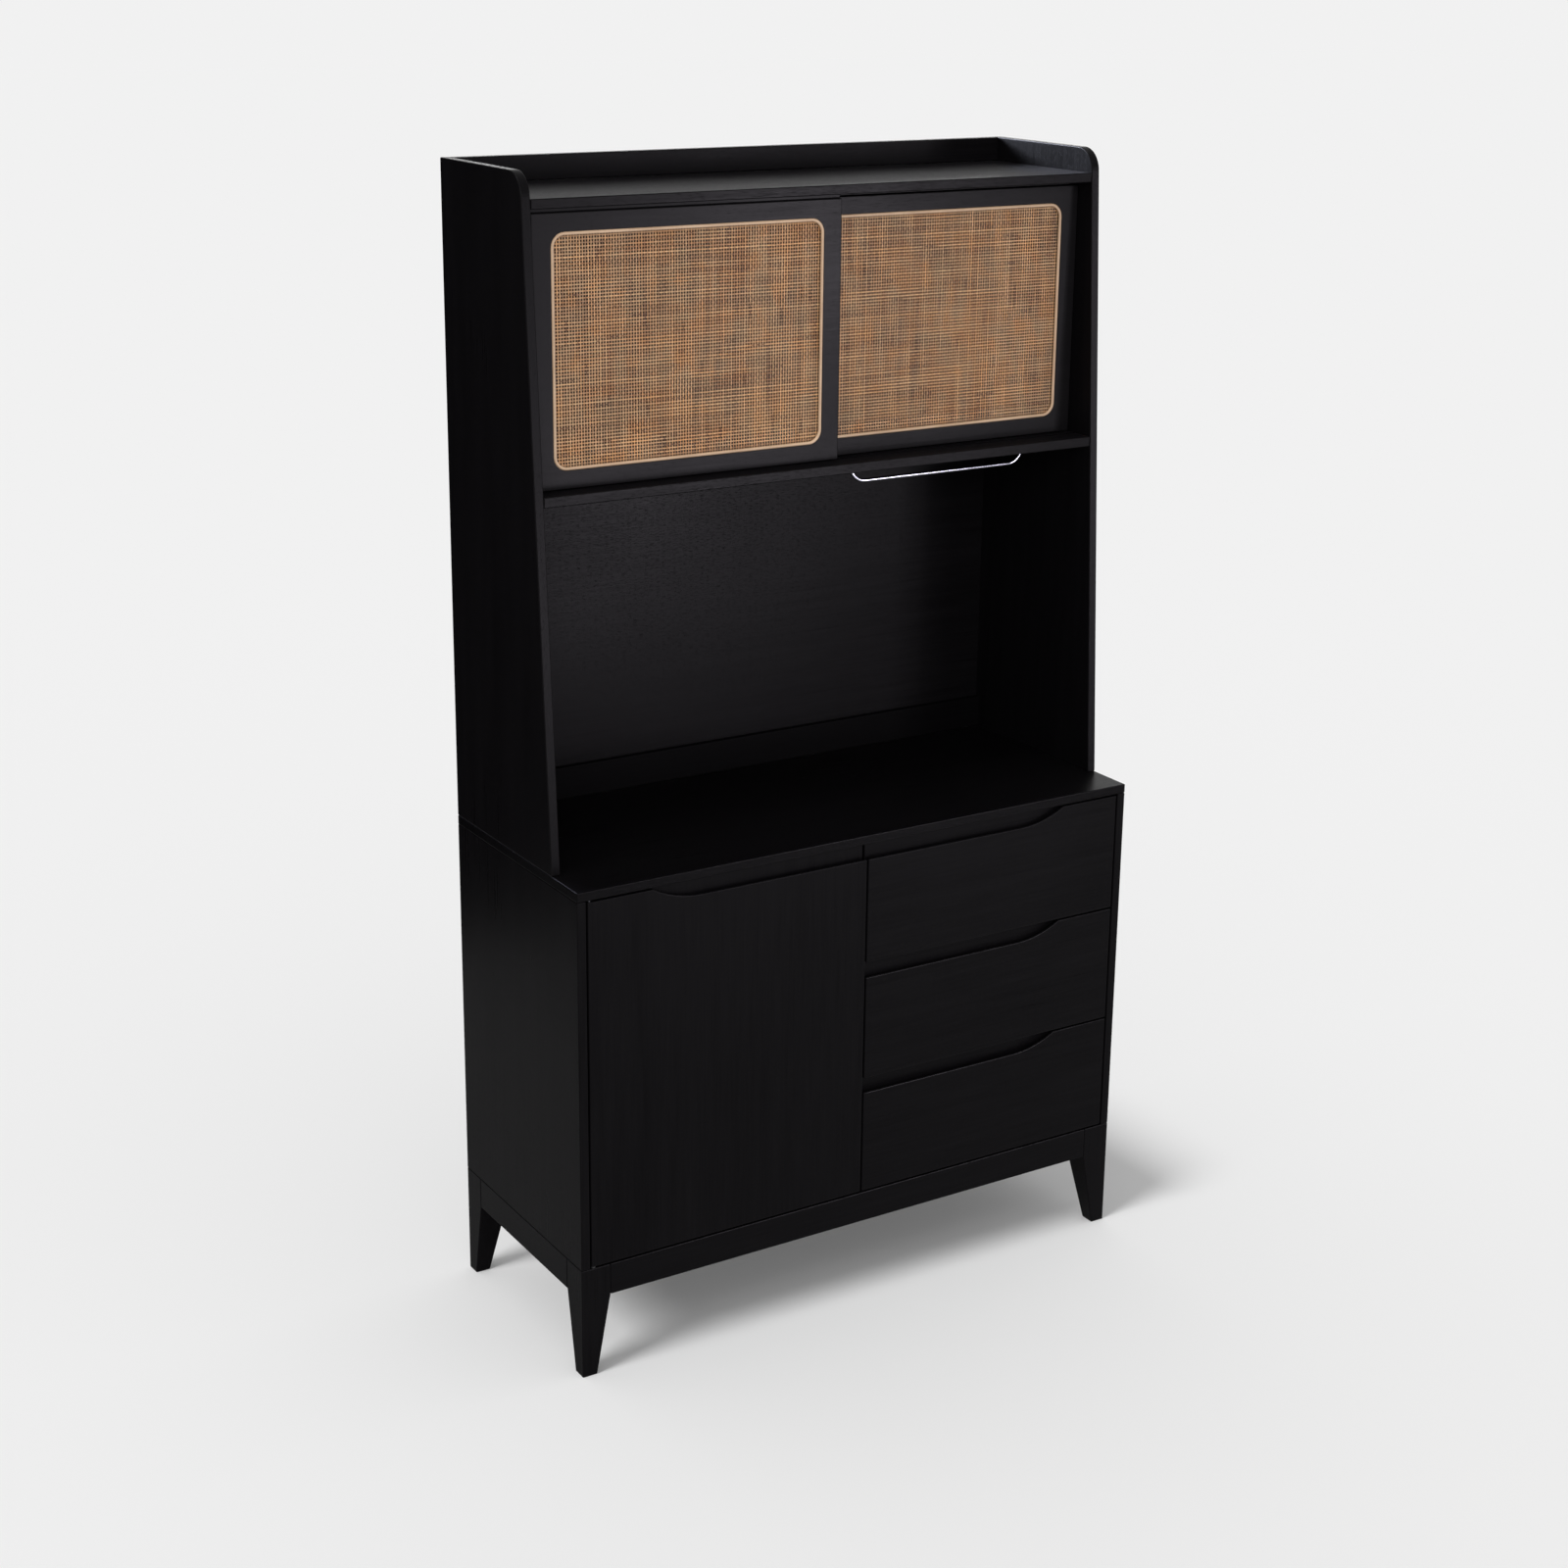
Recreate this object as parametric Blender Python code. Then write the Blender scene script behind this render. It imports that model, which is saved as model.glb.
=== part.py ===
"""Buffet cabinet: a base cabinet on a leg frame, with a hutch standing on its worktop.

Frame: metres, +Z up, +X to the viewer's right, front faces -Y. The origin is on the floor,
under the middle of the outline.
"""

import math

import bmesh
import bpy
from mathutils import Vector

# Fits
SEAT = 0.0003            # between two pieces that touch
REVEAL = 0.003           # round the inset door and drawer fronts
EASE = 0.0015            # rounded edge of a board that shows
EASE_HIDDEN = 0.0006     # broken edge of a board inside
EASE_STEPS = 2
SHARP_ANGLE = math.radians(40)   # a steeper edge than this is a real edge
CUT_PAST = 0.003         # how far a cutter runs out through a face
HOLE_SIDES = 16

# Base cabinet
WIDTH = 1.100
DEPTH = 0.440
WORKTOP_HEIGHT = 0.862
WORKTOP_THICK = 0.016
SIDE_THICK = 0.016
BOTTOM_THICK = 0.016
DIVIDER_THICK = 0.016
DIVIDER_CENTRE = 0.0
BACK_THICK = 0.005
RABBET = 0.008           # how far a back panel reaches into a side
FRONT_THICK = 0.020      # door and drawer fronts
FRONT_TO_CASE = 0.0015   # behind the fronts

# Leg frame
FRAME_HEIGHT = 0.198
APRON_HEIGHT = 0.056
APRON_THICK = 0.018
LEG_TOP = 0.0535
LEG_FOOT = 0.027

# Finger pull, routed into the top of each front
PULL_DROP = 0.0245       # from the top edge down to the lip
PULL_DEPTH = 0.014
PULL_LIP_THICK = 0.0042
PULL_UNDERCUT = 0.008    # how far the pocket's floor falls behind the lip
PULL_LENGTH = 0.3205     # of the level lip, from the front's free edge
PULL_RADIUS = 0.180      # arc from the lip up to the top edge
PULL_STEPS = 8

# Cupboard
SHELF_RAISE = 0.3057     # above the case's floor
SHELF_THICK = 0.016
SHELF_SIDE_GAP = 0.0008
SHELF_FRONT_SETBACK = 0.045
SHELF_BACK_GAP = 0.008
SHELF_PIN_RADIUS = 0.0025
SHELF_PIN_REACH = 0.008  # half in the wood, half under the shelf
SHELF_PIN_INSET = 0.045  # from the shelf's front and back edges
PIVOT_INSET = 0.0045     # door's pivot from its hinge edge and from its front face
PIVOT_RADIUS = 0.002
PIVOT_REACH = 0.012      # into the door
PIVOT_ROOT = 0.009       # into the worktop and the leg
WASHER_RADIUS = 0.0038
CATCH_WIDTH = 0.014
CATCH_DEPTH = 0.028
CATCH_HEIGHT = 0.040
CATCH_DROP = 0.022       # below the worktop

# Drawers
DRAWER_COUNT = 3
DRAWER_SIDE_THICK = 0.012
DRAWER_SIDE_GAP = 0.004
DRAWER_SIDE_DROP = 0.044     # below the front's top edge
DRAWER_SIDE_RAISE = 0.018    # above the front's lower edge, clear of the case's bottom
DRAWER_BACK_GAP = 0.024
DRAWER_BOTTOM_THICK = 0.005
DRAWER_BOTTOM_RAISE = 0.010
DRAWER_BOTTOM_GROOVE = 0.005
RUNNER_HEIGHT = 0.014
RUNNER_RAISE = 0.078     # runner's lower face above the drawer side's lower edge
RUNNER_GROOVE = 0.008
RUNNER_END_GAP = 0.006

# Hutch
HUTCH_HEIGHT = 1.963
HUTCH_SIDE_THICK = 0.016
HUTCH_FOOT_SETBACK = 0.087   # side's front edge behind the worktop's, at the worktop
HUTCH_HEAD_SETBACK = 0.156   # the same at the top
HUTCH_CORNER_RADIUS = 0.040
CORNER_STEPS = 12
TOP_BOARD_THICK = 0.016
TOP_BOARD_SETBACK = 0.153
GALLERY_HEIGHT = 0.041
GALLERY_THICK = 0.016
UPPER_OPENING = 0.4355   # between the hutch shelf and the top board
HUTCH_SHELF_THICK = 0.0175
HUTCH_SHELF_SETBACK = 0.125
HUTCH_BACK_THICK = 0.005
HUTCH_RABBET = 0.008
NICHE_RAIL_HEIGHT = 0.058
NICHE_RAIL_THICK = 0.0115

# Sliding doors
SLIDER_THICK = 0.018
SLIDER_SETBACK = 0.007   # front door behind the top board's front edge
SLIDER_SPACING = 0.025
SLIDER_SIDE_GAP = 0.003
SLIDER_OVERLAP = 0.059   # of one door over the other
SLIDER_LIFT = 0.0012
SLIDER_HEAD_GAP = 0.0065
STILE = 0.033
CANE_CORNER = 0.024
RAIL = 0.029
LEDGE = 0.007
LEDGE_DEPTH = 0.0065
CANE_THICK = 0.0015
BEAD_RADIUS = 0.0027
TONGUE_THICK = 0.006
TONGUE_LOWER = 0.005
TONGUE_UPPER = 0.0045    # how far the upper tongue reaches into its groove
GROOVE_SIDE_GAP = 0.0005
GROOVE_FLOOR_GAP = 0.0007    # under the lower tongue
LIFT_OUT = 0.0055        # a door lifts this far to leave its lower groove
OPENING_STEPS = 6

# Hanging bar under the hutch shelf
BAR_RADIUS = 0.0035
BAR_SPAN = 0.360
BAR_DROP = 0.032
BAR_BEND = 0.020
BAR_SIDE_INSET = 0.093   # its right end from the hutch's side
BAR_SETBACK = 0.075      # behind the shelf's front edge
BAR_ROOT = 0.008
BAR_BEND_STEPS = 6

# Places worked out from the sizes above
FRONT_Y = -DEPTH / 2
BACK_Y = DEPTH / 2
INNER_X = WIDTH / 2 - SIDE_THICK
CASE_TOP = WORKTOP_HEIGHT - WORKTOP_THICK
CASE_FLOOR = FRAME_HEIGHT + SEAT + BOTTOM_THICK
CASE_FRONT_Y = FRONT_Y + FRONT_THICK + FRONT_TO_CASE
BASE_BACK_Y = BACK_Y - SEAT - BACK_THICK
DIVIDER_LEFT = DIVIDER_CENTRE - DIVIDER_THICK / 2
DIVIDER_RIGHT = DIVIDER_CENTRE + DIVIDER_THICK / 2
FRONTS_LOW = FRAME_HEIGHT + REVEAL
FRONTS_HIGH = CASE_TOP - REVEAL
HUTCH_INNER_X = WIDTH / 2 - HUTCH_SIDE_THICK
TOP_BOARD_HIGH = HUTCH_HEIGHT - GALLERY_HEIGHT
TOP_BOARD_LOW = TOP_BOARD_HIGH - TOP_BOARD_THICK
HUTCH_BACK_Y = BACK_Y - SEAT - HUTCH_BACK_THICK
HUTCH_SHELF_TOP = TOP_BOARD_LOW - UPPER_OPENING
HUTCH_SHELF_LOW = HUTCH_SHELF_TOP - HUTCH_SHELF_THICK
SLIDER_WIDTH = HUTCH_INNER_X - SLIDER_SIDE_GAP + SLIDER_OVERLAP / 2
LOWER_GROOVE = TONGUE_LOWER - SLIDER_LIFT + GROOVE_FLOOR_GAP
UPPER_GROOVE = TONGUE_UPPER + LIFT_OUT


def clear_scene():
    for item in list(bpy.data.objects):
        bpy.data.objects.remove(item, do_unlink=True)


def finish(name, colour, roughness, metallic=0.0):
    """A plain surface for one kind of material."""
    surface = bpy.data.materials.new(name)
    surface.use_nodes = True
    shader = surface.node_tree.nodes["Principled BSDF"]
    shader.inputs["Base Color"].default_value = (*colour, 1.0)
    shader.inputs["Roughness"].default_value = roughness
    shader.inputs["Metallic"].default_value = metallic
    return surface


def make_finishes():
    return {
        "black_wood": finish("black_wood", (0.020, 0.018, 0.020), 0.38),
        "inner_wood": finish("inner_wood", (0.045, 0.040, 0.040), 0.55),
        "cane": finish("cane", (0.52, 0.30, 0.13), 0.60),
        "beading": finish("beading", (0.68, 0.46, 0.26), 0.50),
        "chrome": finish("chrome", (0.80, 0.80, 0.82), 0.08, 1.0),
        "steel": finish("steel", (0.55, 0.55, 0.57), 0.30, 1.0),
        "plastic": finish("plastic", (0.02, 0.02, 0.02), 0.50),
    }


def axis_empty(name, place):
    """The line or pivot that a moving group follows."""
    empty = bpy.data.objects.new(name, None)
    empty.location = place
    empty.empty_display_size = 0.05
    bpy.context.collection.objects.link(empty)
    return empty


def add_object(name, data, origin, surface, carrier=None):
    """Link a piece whose data was drawn about its origin."""
    piece = bpy.data.objects.new(name, data)
    if surface is not None:
        data.materials.append(surface)
    bpy.context.collection.objects.link(piece)
    if carrier is None:
        piece.location = origin
    else:
        piece.parent = carrier
        piece.location = Vector(origin) - carrier.location
    return piece


def lift(axis, across, up, along):
    """Turn a point of an outline, and its place along the axis, into a point in space."""
    if axis == "X":
        return Vector((along, across, up))
    if axis == "Y":
        return Vector((across, along, up))
    return Vector((across, up, along))


def prism(name, outline, axis, start, end, surface, carrier=None):
    """A board sawn to an outline: (y, z) along X, (x, z) along Y or (x, y) along Z."""
    origin = carrier.location.copy() if carrier else lift(
        axis,
        sum(p[0] for p in outline) / len(outline),
        sum(p[1] for p in outline) / len(outline),
        (start + end) / 2,
    )
    shape = bmesh.new()
    corners = [shape.verts.new(lift(axis, p[0], p[1], start) - origin) for p in outline]
    face = shape.faces.new(corners)
    grown = bmesh.ops.extrude_face_region(shape, geom=[face])
    moved = [item for item in grown["geom"] if isinstance(item, bmesh.types.BMVert)]
    bmesh.ops.translate(shape, verts=moved, vec=lift(axis, 0, 0, end - start))
    bmesh.ops.recalc_face_normals(shape, faces=shape.faces[:])
    mesh = bpy.data.meshes.new(name)
    shape.to_mesh(mesh)
    shape.free()
    return add_object(name, mesh, origin, surface, carrier)


def loft(name, rings):
    """A closed mesh through outlines that have as many points each."""
    shape = bmesh.new()
    loops = [[shape.verts.new(place) for place in ring] for ring in rings]
    shape.faces.new(loops[0])
    shape.faces.new(loops[-1])
    for first, second in zip(loops, loops[1:]):
        for index in range(len(first)):
            after = (index + 1) % len(first)
            shape.faces.new((first[index], first[after], second[after], second[index]))
    bmesh.ops.recalc_face_normals(shape, faces=shape.faces[:])
    mesh = bpy.data.meshes.new(name)
    shape.to_mesh(mesh)
    shape.free()
    return mesh


def rectangle(low, high):
    return [(low[0], low[1]), (high[0], low[1]), (high[0], high[1]), (low[0], high[1])]


def board(name, low, high, surface, carrier=None):
    """A square-edged board between two corners."""
    outline = rectangle((low[0], low[1]), (high[0], high[1]))
    return prism(name, outline, "Z", low[2], high[2], surface, carrier)


def rod(name, centre, radius, length, axis, surface, carrier=None):
    """A round pin or disc about its centre, along X or Z."""
    shape = bmesh.new()
    bmesh.ops.create_cone(
        shape, cap_ends=True, segments=HOLE_SIDES, radius1=radius, radius2=radius, depth=length
    )
    if axis == "X":
        for corner in shape.verts:
            corner.co = Vector((corner.co.z, corner.co.y, -corner.co.x))
    mesh = bpy.data.meshes.new(name)
    shape.to_mesh(mesh)
    shape.free()
    mesh.shade_smooth()
    mesh.set_sharp_from_angle(angle=SHARP_ANGLE)
    return add_object(name, mesh, centre, surface, carrier)


def as_cutter(piece):
    piece.hide_render = True
    piece.display_type = "WIRE"
    return piece


def cut(piece, cutter):
    """Take a cutter's shape out of a piece."""
    change = piece.modifiers.new("cut_" + cutter.name, "BOOLEAN")
    change.operation = "DIFFERENCE"
    change.solver = "EXACT"
    change.object = as_cutter(cutter)


def bore(piece, name, centre, radius, length, axis, carrier=None):
    """A round hole whose cutter runs through the piece's face."""
    cut(piece, rod(name, centre, radius, length, axis, None, carrier))


def ease(piece, width, steps=EASE_STEPS):
    """Round a piece's square edges."""
    change = piece.modifiers.new("eased_edges", "BEVEL")
    change.width = width
    change.segments = steps
    change.limit_method = "ANGLE"
    change.angle_limit = SHARP_ANGLE
    return piece


def rounded_rectangle(low, high, radius, steps):
    """An outline with an arc at each corner."""
    centres = [
        (high[0] - radius, low[1] + radius, -90),
        (high[0] - radius, high[1] - radius, 0),
        (low[0] + radius, high[1] - radius, 90),
        (low[0] + radius, low[1] + radius, 180),
    ]
    outline = []
    for across, up, first in centres:
        for step in range(steps + 1):
            angle = math.radians(first + 90 * step / steps)
            outline.append((across + radius * math.cos(angle), up + radius * math.sin(angle)))
    return outline


def fillet(before, corner, after, radius, steps):
    """Points of an arc that rounds one corner of an outline."""
    corner = Vector(corner)
    back = (Vector(before) - corner).normalized()
    on = (Vector(after) - corner).normalized()
    half = back.angle(on) / 2
    centre = corner + (back + on).normalized() * (radius / math.sin(half))
    first = corner + back * (radius / math.tan(half)) - centre
    last = corner + on * (radius / math.tan(half)) - centre
    turn = first.angle_signed(last)
    points = []
    for step in range(steps + 1):
        angle = -turn * step / steps
        spun = Vector((
            first.x * math.cos(angle) - first.y * math.sin(angle),
            first.x * math.sin(angle) + first.y * math.cos(angle),
        ))
        points.append(tuple(centre + spun))
    return points


def build_base(surfaces):
    """Worktop, sides, bottom, divider and back of the base cabinet."""
    wood = surfaces["black_wood"]
    inner = surfaces["inner_wood"]
    worktop = ease(board(
        "worktop", (-WIDTH / 2, FRONT_Y, CASE_TOP), (WIDTH / 2, BACK_Y, WORKTOP_HEIGHT), wood
    ), EASE)
    sides = {}
    for name, hand in (("left", -1), ("right", 1)):
        face = hand * INNER_X
        outer = hand * WIDTH / 2
        sides[name] = ease(board(
            "base_side_" + name,
            (min(face, outer), FRONT_Y, FRAME_HEIGHT + SEAT),
            (max(face, outer), BACK_Y, CASE_TOP - SEAT),
            wood,
        ), EASE)
        near = hand * (INNER_X - RABBET)
        far = hand * (INNER_X + RABBET)
        cut(sides[name], board(
            "base_rabbet_" + name,
            (min(near, far), BASE_BACK_Y - SEAT, FRAME_HEIGHT - CUT_PAST),
            (max(near, far), BACK_Y + CUT_PAST, CASE_TOP + CUT_PAST),
            None,
        ))
    ease(board(
        "base_bottom",
        (-INNER_X + SEAT, CASE_FRONT_Y, FRAME_HEIGHT + SEAT),
        (INNER_X - SEAT, BASE_BACK_Y - SEAT, CASE_FLOOR),
        inner,
    ), EASE_HIDDEN, 1)
    divider = ease(board(
        "base_divider",
        (DIVIDER_LEFT, CASE_FRONT_Y, CASE_FLOOR + SEAT),
        (DIVIDER_RIGHT, BASE_BACK_Y - SEAT, CASE_TOP - SEAT),
        inner,
    ), EASE_HIDDEN, 1)
    reach = INNER_X + RABBET - SEAT
    ease(board(
        "base_back",
        (-reach, BASE_BACK_Y, FRAME_HEIGHT + SEAT),
        (reach, BACK_Y - SEAT, CASE_TOP - SEAT),
        inner,
    ), EASE_HIDDEN, 1)
    return worktop, sides, divider


def build_leg(name, hand, depth_hand, surface):
    """A leg with plumb outer faces, whose two inner faces taper below the apron."""
    outer = Vector((hand * WIDTH / 2, depth_hand * DEPTH / 2, 0))
    rings = []
    for height, size in (
        (0.0, LEG_FOOT),
        (FRAME_HEIGHT - APRON_HEIGHT, LEG_TOP),
        (FRAME_HEIGHT, LEG_TOP),
    ):
        corners = rectangle((0, 0), (-hand * size, -depth_hand * size))
        rings.append([Vector((across, depth, height)) for across, depth in corners])
    return add_object(name, loft(name, rings), outer, surface)


def build_frame(surfaces):
    """Four legs and the aprons between them."""
    wood = surfaces["black_wood"]
    legs = {}
    for side, hand in (("left", -1), ("right", 1)):
        for end, depth_hand in (("front", -1), ("back", 1)):
            name = "leg_" + end + "_" + side
            legs[name] = ease(build_leg(name, hand, depth_hand, wood), EASE)
    low = FRAME_HEIGHT - APRON_HEIGHT
    across = WIDTH / 2 - LEG_TOP - SEAT
    along = DEPTH / 2 - LEG_TOP - SEAT
    for name, hand in (("apron_front", -1), ("apron_back", 1)):
        face = hand * DEPTH / 2
        back = hand * (DEPTH / 2 - APRON_THICK)
        ease(board(
            name, (-across, min(face, back), low), (across, max(face, back), FRAME_HEIGHT), wood
        ), EASE)
    for name, hand in (("apron_left", -1), ("apron_right", 1)):
        face = hand * WIDTH / 2
        back = hand * (WIDTH / 2 - APRON_THICK)
        ease(board(
            name, (min(face, back), -along, low), (max(face, back), along, FRAME_HEIGHT), wood
        ), EASE)
    return legs


def build_cupboard_shelf(surfaces, sides, divider):
    """The shelf behind the door and the four pins that carry it."""
    left = -INNER_X + SHELF_SIDE_GAP
    right = DIVIDER_LEFT - SHELF_SIDE_GAP
    front = CASE_FRONT_Y + SHELF_FRONT_SETBACK
    back = BASE_BACK_Y - SHELF_BACK_GAP
    low = CASE_FLOOR + SHELF_RAISE
    ease(board(
        "cupboard_shelf",
        (left, front, low),
        (right, back, low + SHELF_THICK),
        surfaces["inner_wood"],
    ), EASE_HIDDEN, 1)
    height = low - SEAT - SHELF_PIN_RADIUS
    for end, depth in (("front", front + SHELF_PIN_INSET), ("back", back - SHELF_PIN_INSET)):
        for side, face, wood in (
            ("left", -INNER_X, sides["left"]),
            ("right", DIVIDER_LEFT, divider),
        ):
            place = (face, depth, height)
            label = end + "_" + side
            length = 2 * SHELF_PIN_REACH
            rod("shelf_pin_" + label, place, SHELF_PIN_RADIUS, length, "X", surfaces["steel"])
            bore(
                wood, "shelf_pin_hole_" + label, place,
                SHELF_PIN_RADIUS + SEAT, length + 2 * SEAT, "X",
            )


def pull_outline(edge, toward, top, drop):
    """Outline of a finger pull: open at the front's free edge, closed by an arc.

    edge is the free edge's X, toward is +1 or -1 for the way the pull runs from it.
    """
    lip = top - drop
    outline = [(edge - toward * CUT_PAST, lip), (edge - toward * CUT_PAST, top + CUT_PAST)]
    over = math.sqrt(PULL_RADIUS**2 - (PULL_RADIUS - drop - CUT_PAST) ** 2)
    end_angle = math.asin(over / PULL_RADIUS)
    arc = []
    for step in range(PULL_STEPS + 1):
        angle = end_angle * step / PULL_STEPS
        across = PULL_LENGTH + PULL_RADIUS * math.sin(angle)
        up = lip + PULL_RADIUS * (1 - math.cos(angle))
        arc.append((edge + toward * across, up))
    return outline + arc[::-1]


def pull_cutter(name, edge, toward, top, carrier):
    """The finger pull's pocket, whose floor falls away behind the lip."""
    near = pull_outline(edge, toward, top, PULL_DROP)
    far = [(across, up - PULL_UNDERCUT if up < top else up) for across, up in near]
    front = FRONT_Y - CUT_PAST
    lip = FRONT_Y + PULL_LIP_THICK
    back = FRONT_Y + PULL_DEPTH
    rings = []
    for depth, outline in ((front, near), (lip, near), (back, far)):
        rings.append([lift("Y", p[0], p[1], depth) - carrier.location for p in outline])
    return add_object(name, loft(name, rings), carrier.location.copy(), None, carrier)


def build_door(surfaces, worktop, leg):
    """The hinged door, the pins that it turns on and its catch."""
    low_x = -INNER_X + REVEAL
    high_x = DIVIDER_CENTRE - REVEAL / 2
    pivot = Vector((low_x + PIVOT_INSET, FRONT_Y + PIVOT_INSET, FRONTS_LOW))
    carrier = axis_empty("cupboard_door_pivot", pivot)
    door = board(
        "cupboard_door",
        (low_x, FRONT_Y, FRONTS_LOW),
        (high_x, FRONT_Y + FRONT_THICK, FRONTS_HIGH),
        surfaces["black_wood"],
        carrier,
    )
    cut(door, pull_cutter("cupboard_door_pull", high_x, -1, FRONTS_HIGH, carrier))
    ease(door, EASE)

    steel = surfaces["steel"]
    hole = PIVOT_RADIUS + SEAT
    door_low = FRONTS_LOW
    lower_mid = (FRAME_HEIGHT - PIVOT_ROOT + door_low + PIVOT_REACH) / 2
    lower_length = door_low + PIVOT_REACH - FRAME_HEIGHT + PIVOT_ROOT
    upper_mid = (FRONTS_HIGH - PIVOT_REACH + CASE_TOP + PIVOT_ROOT) / 2
    upper_length = CASE_TOP + PIVOT_ROOT - FRONTS_HIGH + PIVOT_REACH
    for name, mid, length, wood in (
        ("lower", lower_mid, lower_length, leg),
        ("upper", upper_mid, upper_length, worktop),
    ):
        place = (pivot.x, pivot.y, mid)
        rod("door_pin_" + name, place, PIVOT_RADIUS, length, "Z", steel)
        bore(wood, "door_pin_root_" + name, place, hole, length + 2 * SEAT, "Z")
        bore(door, "door_pin_hole_" + name, place, hole, length + 2 * SEAT, "Z", carrier)

    washer_thick = REVEAL - 2 * SEAT
    washer_place = (pivot.x, pivot.y, FRAME_HEIGHT + SEAT + washer_thick / 2)
    washer = rod("door_washer", washer_place, WASHER_RADIUS, washer_thick, "Z", surfaces["plastic"])
    bore(washer, "door_washer_hole", washer_place, hole, 2 * washer_thick, "Z")

    catch_high = CASE_TOP - CATCH_DROP
    ease(board(
        "magnet_catch",
        (DIVIDER_LEFT - SEAT - CATCH_WIDTH, FRONT_Y + FRONT_THICK + SEAT, catch_high - CATCH_HEIGHT),
        (DIVIDER_LEFT - SEAT, FRONT_Y + FRONT_THICK + SEAT + CATCH_DEPTH, catch_high),
        surfaces["plastic"],
    ), EASE)


def build_drawers(surfaces):
    """Three drawers and the runners that they hang on."""
    wood = surfaces["black_wood"]
    inner = surfaces["inner_wood"]
    spare = (DRAWER_COUNT - 1) * REVEAL
    height = (FRONTS_HIGH - FRONTS_LOW - spare) / DRAWER_COUNT
    left = DIVIDER_CENTRE + REVEAL / 2
    right = INNER_X - REVEAL
    box_left = DIVIDER_RIGHT + DRAWER_SIDE_GAP
    box_right = INNER_X - DRAWER_SIDE_GAP
    box_front = FRONT_Y + FRONT_THICK + SEAT
    box_back = BASE_BACK_Y - DRAWER_BACK_GAP
    for index in range(DRAWER_COUNT):
        label = "drawer_" + str(index + 1)
        top = FRONTS_HIGH - index * (height + REVEAL)
        low = top - height
        side_low = low + DRAWER_SIDE_RAISE
        side_high = top - DRAWER_SIDE_DROP
        runner_low = side_low + RUNNER_RAISE
        floor_low = side_low + DRAWER_BOTTOM_RAISE
        floor_high = floor_low + DRAWER_BOTTOM_THICK
        carrier = axis_empty(label + "_slide", Vector(((left + right) / 2, FRONT_Y, low)))
        front = board(
            label + "_front", (left, FRONT_Y, low), (right, FRONT_Y + FRONT_THICK, top), wood, carrier
        )
        cut(front, pull_cutter(label + "_pull", left, 1, top, carrier))
        ease(front, EASE)

        for side, outer, hand in (("left", box_left, 1), ("right", box_right, -1)):
            face = outer + hand * DRAWER_SIDE_THICK
            groove = outer + hand * RUNNER_GROOVE
            slot = face - hand * DRAWER_BOTTOM_GROOVE
            outline = [
                (outer, side_low),
                (face, side_low),
                (face, floor_low - SEAT),
                (slot, floor_low - SEAT),
                (slot, floor_high + SEAT),
                (face, floor_high + SEAT),
                (face, side_high),
                (outer, side_high),
                (outer, runner_low + RUNNER_HEIGHT + SEAT),
                (groove, runner_low + RUNNER_HEIGHT + SEAT),
                (groove, runner_low - SEAT),
                (outer, runner_low - SEAT),
            ]
            ease(prism(
                label + "_side_" + side, outline, "Y", box_front, box_back, inner, carrier
            ), EASE_HIDDEN, 1)
            wall = DIVIDER_RIGHT + SEAT if hand > 0 else INNER_X - SEAT
            tip = groove - hand * SEAT
            ease(board(
                label + "_runner_" + side,
                (min(wall, tip), CASE_FRONT_Y + RUNNER_END_GAP, runner_low),
                (max(wall, tip), box_back, runner_low + RUNNER_HEIGHT),
                inner,
            ), EASE_HIDDEN, 1)

        in_left = box_left + DRAWER_SIDE_THICK + SEAT
        in_right = box_right - DRAWER_SIDE_THICK - SEAT
        ease(board(
            label + "_back",
            (in_left, box_back - DRAWER_SIDE_THICK, floor_high + SEAT),
            (in_right, box_back, side_high),
            inner,
            carrier,
        ), EASE_HIDDEN, 1)
        grip = DRAWER_BOTTOM_GROOVE - 2 * SEAT
        board(
            label + "_bottom",
            (in_left - grip, box_front, floor_low),
            (in_right + grip, box_back, floor_high),
            inner,
            carrier,
        )


def hutch_side_outline():
    """Side of the hutch: a raked front edge, and a large round corner at its top."""
    low = WORKTOP_HEIGHT + SEAT
    foot = (FRONT_Y + HUTCH_FOOT_SETBACK, low)
    head = (FRONT_Y + HUTCH_HEAD_SETBACK, HUTCH_HEIGHT)
    back_top = (BACK_Y, HUTCH_HEIGHT)
    arc = fillet(foot, head, back_top, HUTCH_CORNER_RADIUS, CORNER_STEPS)
    return [(BACK_Y, low), foot] + arc + [back_top]


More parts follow.
